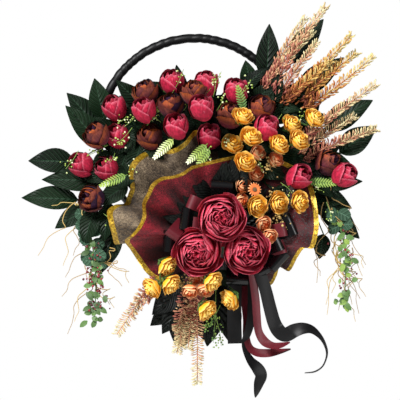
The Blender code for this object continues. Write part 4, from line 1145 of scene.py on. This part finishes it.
for side, (knee, end, pairs, berries, leaflets, tones, twigs) in TRAILS.items():
    bm, dice = new_mesh(), random.Random(side)
    line = [at(*knee), at((knee[0] + end[0]) / 2 + 8, 54, (knee[2] + end[2]) / 2), at(*end)]
    add_stem(bm, line, 0.0016, 0.0007, 0.3, 2, 5, 12)
    add_round_leaves(bm, line, pairs, dice)
    add_berries(bm, line, berries, dice)
    add_leaflets(bm, line, leaflets, tones, dice)
    for number, (x, z, tip_x, tip_z) in enumerate(twigs):
        swing = 0.013 if number < 10 else 0.018
        add_twig(bm, at(x, 46, z), at(tip_x, 46, tip_z), swing, number + 3, dice.uniform(0.2, 0.8))
    piece(f"trail_{side}", bm, [ROUND_LEAF, TWIG, STEM, BERRY], "eucalyptus",
          [f"trailing_spray_{side}"], f"{side}_trail")

# %% [markdown]
# ## Ferns, sprigs and seed heads
# The last touches are pale: lime and white fern tips, sprigs of tiny white-green buds between the
# peonies, daisies and tan seed heads on the right, each a few stamped leaflets or beads.

# %% Ferns and sprigs


def add_fern(bm, root, tip, width, tones):
    """A frond: a stem with paired leaflets that shorten to the tip."""
    run = tip - root
    side = run.cross(Vector((0, -1, 0))).normalized()
    add_stem(bm, [root, (root + tip) / 2 + Vector((0, -0.003, 0)), tip], 0.0008, 0.0004, tones[0], 0, 4, 6)
    pairs = int(run.length * 1000 / 4.4)
    for i in range(1, pairs):
        share = i / pairs
        here = root + run * share + Vector((0, -0.012 * share * (1 - share), 0))
        for way in (-1, 1):
            end = here + side * way * width / 2 * math.sin(math.pi * share ** 0.6) ** 0.7 + run * 0.11
            rule = leaf_rule(here, end, 0.0019, Vector((0, -1, 0.1)), 0.1, 0.05)
            add_sheet(bm, 2, 3, rule, tones[0] + (tones[1] - tones[0]) * share)


def add_sprig(bm, root, tip, seed, tone=0.95, beads=9):
    """A thin forked stem with tiny buds."""
    dice = random.Random(seed)
    add_stem(bm, [root, (root + tip) / 2 + Vector((0.002, -0.003, 0)), tip], 0.0007, 0.0004, 0.6, 0, 4, 6)
    for i in range(beads):
        spot = root + (tip - root) * dice.uniform(0.45, 1.05)
        spot += Vector((dice.gauss(0, 0.005), -abs(dice.gauss(0, 0.004)), dice.gauss(0, 0.005)))
        facing = (dice.uniform(-1, 1), -1, dice.uniform(-1, 1))
        stamp(bm, BEAD, stand(spot, facing, dice.uniform(0.0011, 0.0021)), tone - dice.uniform(0, 0.3))


bm = new_mesh()
for x, z, tip_x, tip_z, tones in (
    (-118, -72, -166, -92, (0.55, 0.8)), (-36, -8, -72, -44, (0.8, 1.0)), (22, -18, -14, -52, (0.6, 1.0)),
    (26, -24, 2, -62, (0.55, 0.95)), (196, -84, 250, -88, (0.5, 0.75)), (86, 40, 74, 84, (0.4, 0.7)),
):
    add_fern(bm, at(x, 76, z), at(tip_x, 84, tip_z), 0.017, tones)
SPRIGS = (
    (-110, 10, -134, -16), (-120, 30, -134, 18), (-60, 20, -76, 30), (-50, 60, -70, 36), (70, 60, 88, 82),
    (-152, -20, -190, -40), (-100, -44, -112, -64), (100, -30, 116, -62), (204, -96, 222, -100),
    (230, -120, 240, -160), (10, -20, 24, -44), (-160, -140, -140, -160), (32, 64, 36, 104),
    (-20, 40, -10, 62), (60, 0, 52, -24), (-84, 14, -70, 38), (-124, 12, -104, 30), (78, 62, 98, 94),
    (20, 70, 46, 108), (-40, 70, -20, 112), (-146, -10, -128, -22), (130, 10, 152, 34), (168, 10, 190, 34),
    (-84, 28, -64, 40), (38, 40, 50, 66), (-140, -34, -150, -52), (150, -86, 170, -104),
    (-204, -30, -226, -62))
GREEN_SPRIGS = ((36, -262, 32, -366), (44, -300, 20, -340), (36, -320, 46, -372))
for number, (x, z, tip_x, tip_z) in enumerate(SPRIGS):
    add_sprig(bm, at(x, 72, z), at(tip_x, 80, tip_z), number)
for number, (x, z, tip_x, tip_z) in enumerate(GREEN_SPRIGS):
    add_sprig(bm, at(x, 72, z), at(tip_x, 68, tip_z), number + 40, 0.7, 26)
piece("ferns_and_sprigs", bm, [STEM], "green_leaves")

# %% Daisies and seed heads
bm = new_mesh()
for x, out, z, size in ((104, 84, -98, 13), (2, 80, -250, 13), (14, 78, -266, 11)):
    centre, axis = at(x, out, z), leaning(x, z)
    turn = stand(centre, axis, size / 1000)
    for i in range(15):
        angle = math.tau * i / 15

        def rule(u, v, angle=angle):
            wide = 0.16 * math.sin(math.pi * min(0.97, v + 0.12)) ** 0.5
            return turn @ Vector((math.cos(angle) * (0.2 + 0.8 * v) - math.sin(angle) * u * wide,
                                  math.sin(angle) * (0.2 + 0.8 * v) + math.cos(angle) * u * wide,
                                  0.12 * math.sin(3 * v)))
        add_sheet(bm, 2, 4, rule, 0.9)
    for i in range(40):
        ring, angle = math.sqrt(i / 40) * 0.3, i * 2.4
        spot = turn @ Vector((ring * math.cos(angle), ring * math.sin(angle), 0.16 - ring * 0.2))
        stamp(bm, BEAD, Matrix.Translation(spot) @ Matrix.Scale(0.0009, 4), 0.1)
for number, (x, out, z) in enumerate(((138, 78, -110), (146, 76, -148), (152, 72, -160), (131, 78, -54),
                                      (-20, 74, -262))):
    dice = random.Random(number)
    for i in range(34):
        spot = at(x, out, z) + Vector([dice.gauss(0, 0.0062) for axis in range(3)])
        stamp(bm, BEAD, stand(spot, (1, -1, 1), dice.uniform(0.0013, 0.0026)), dice.uniform(0.2, 0.8))
beads = [face for face in bm.faces if len(face.verts) == 3]
for face in beads:
    face.material_index = 1
piece("daisies_and_seed_heads", bm, [PEACH, TWIG], "peach_petals")
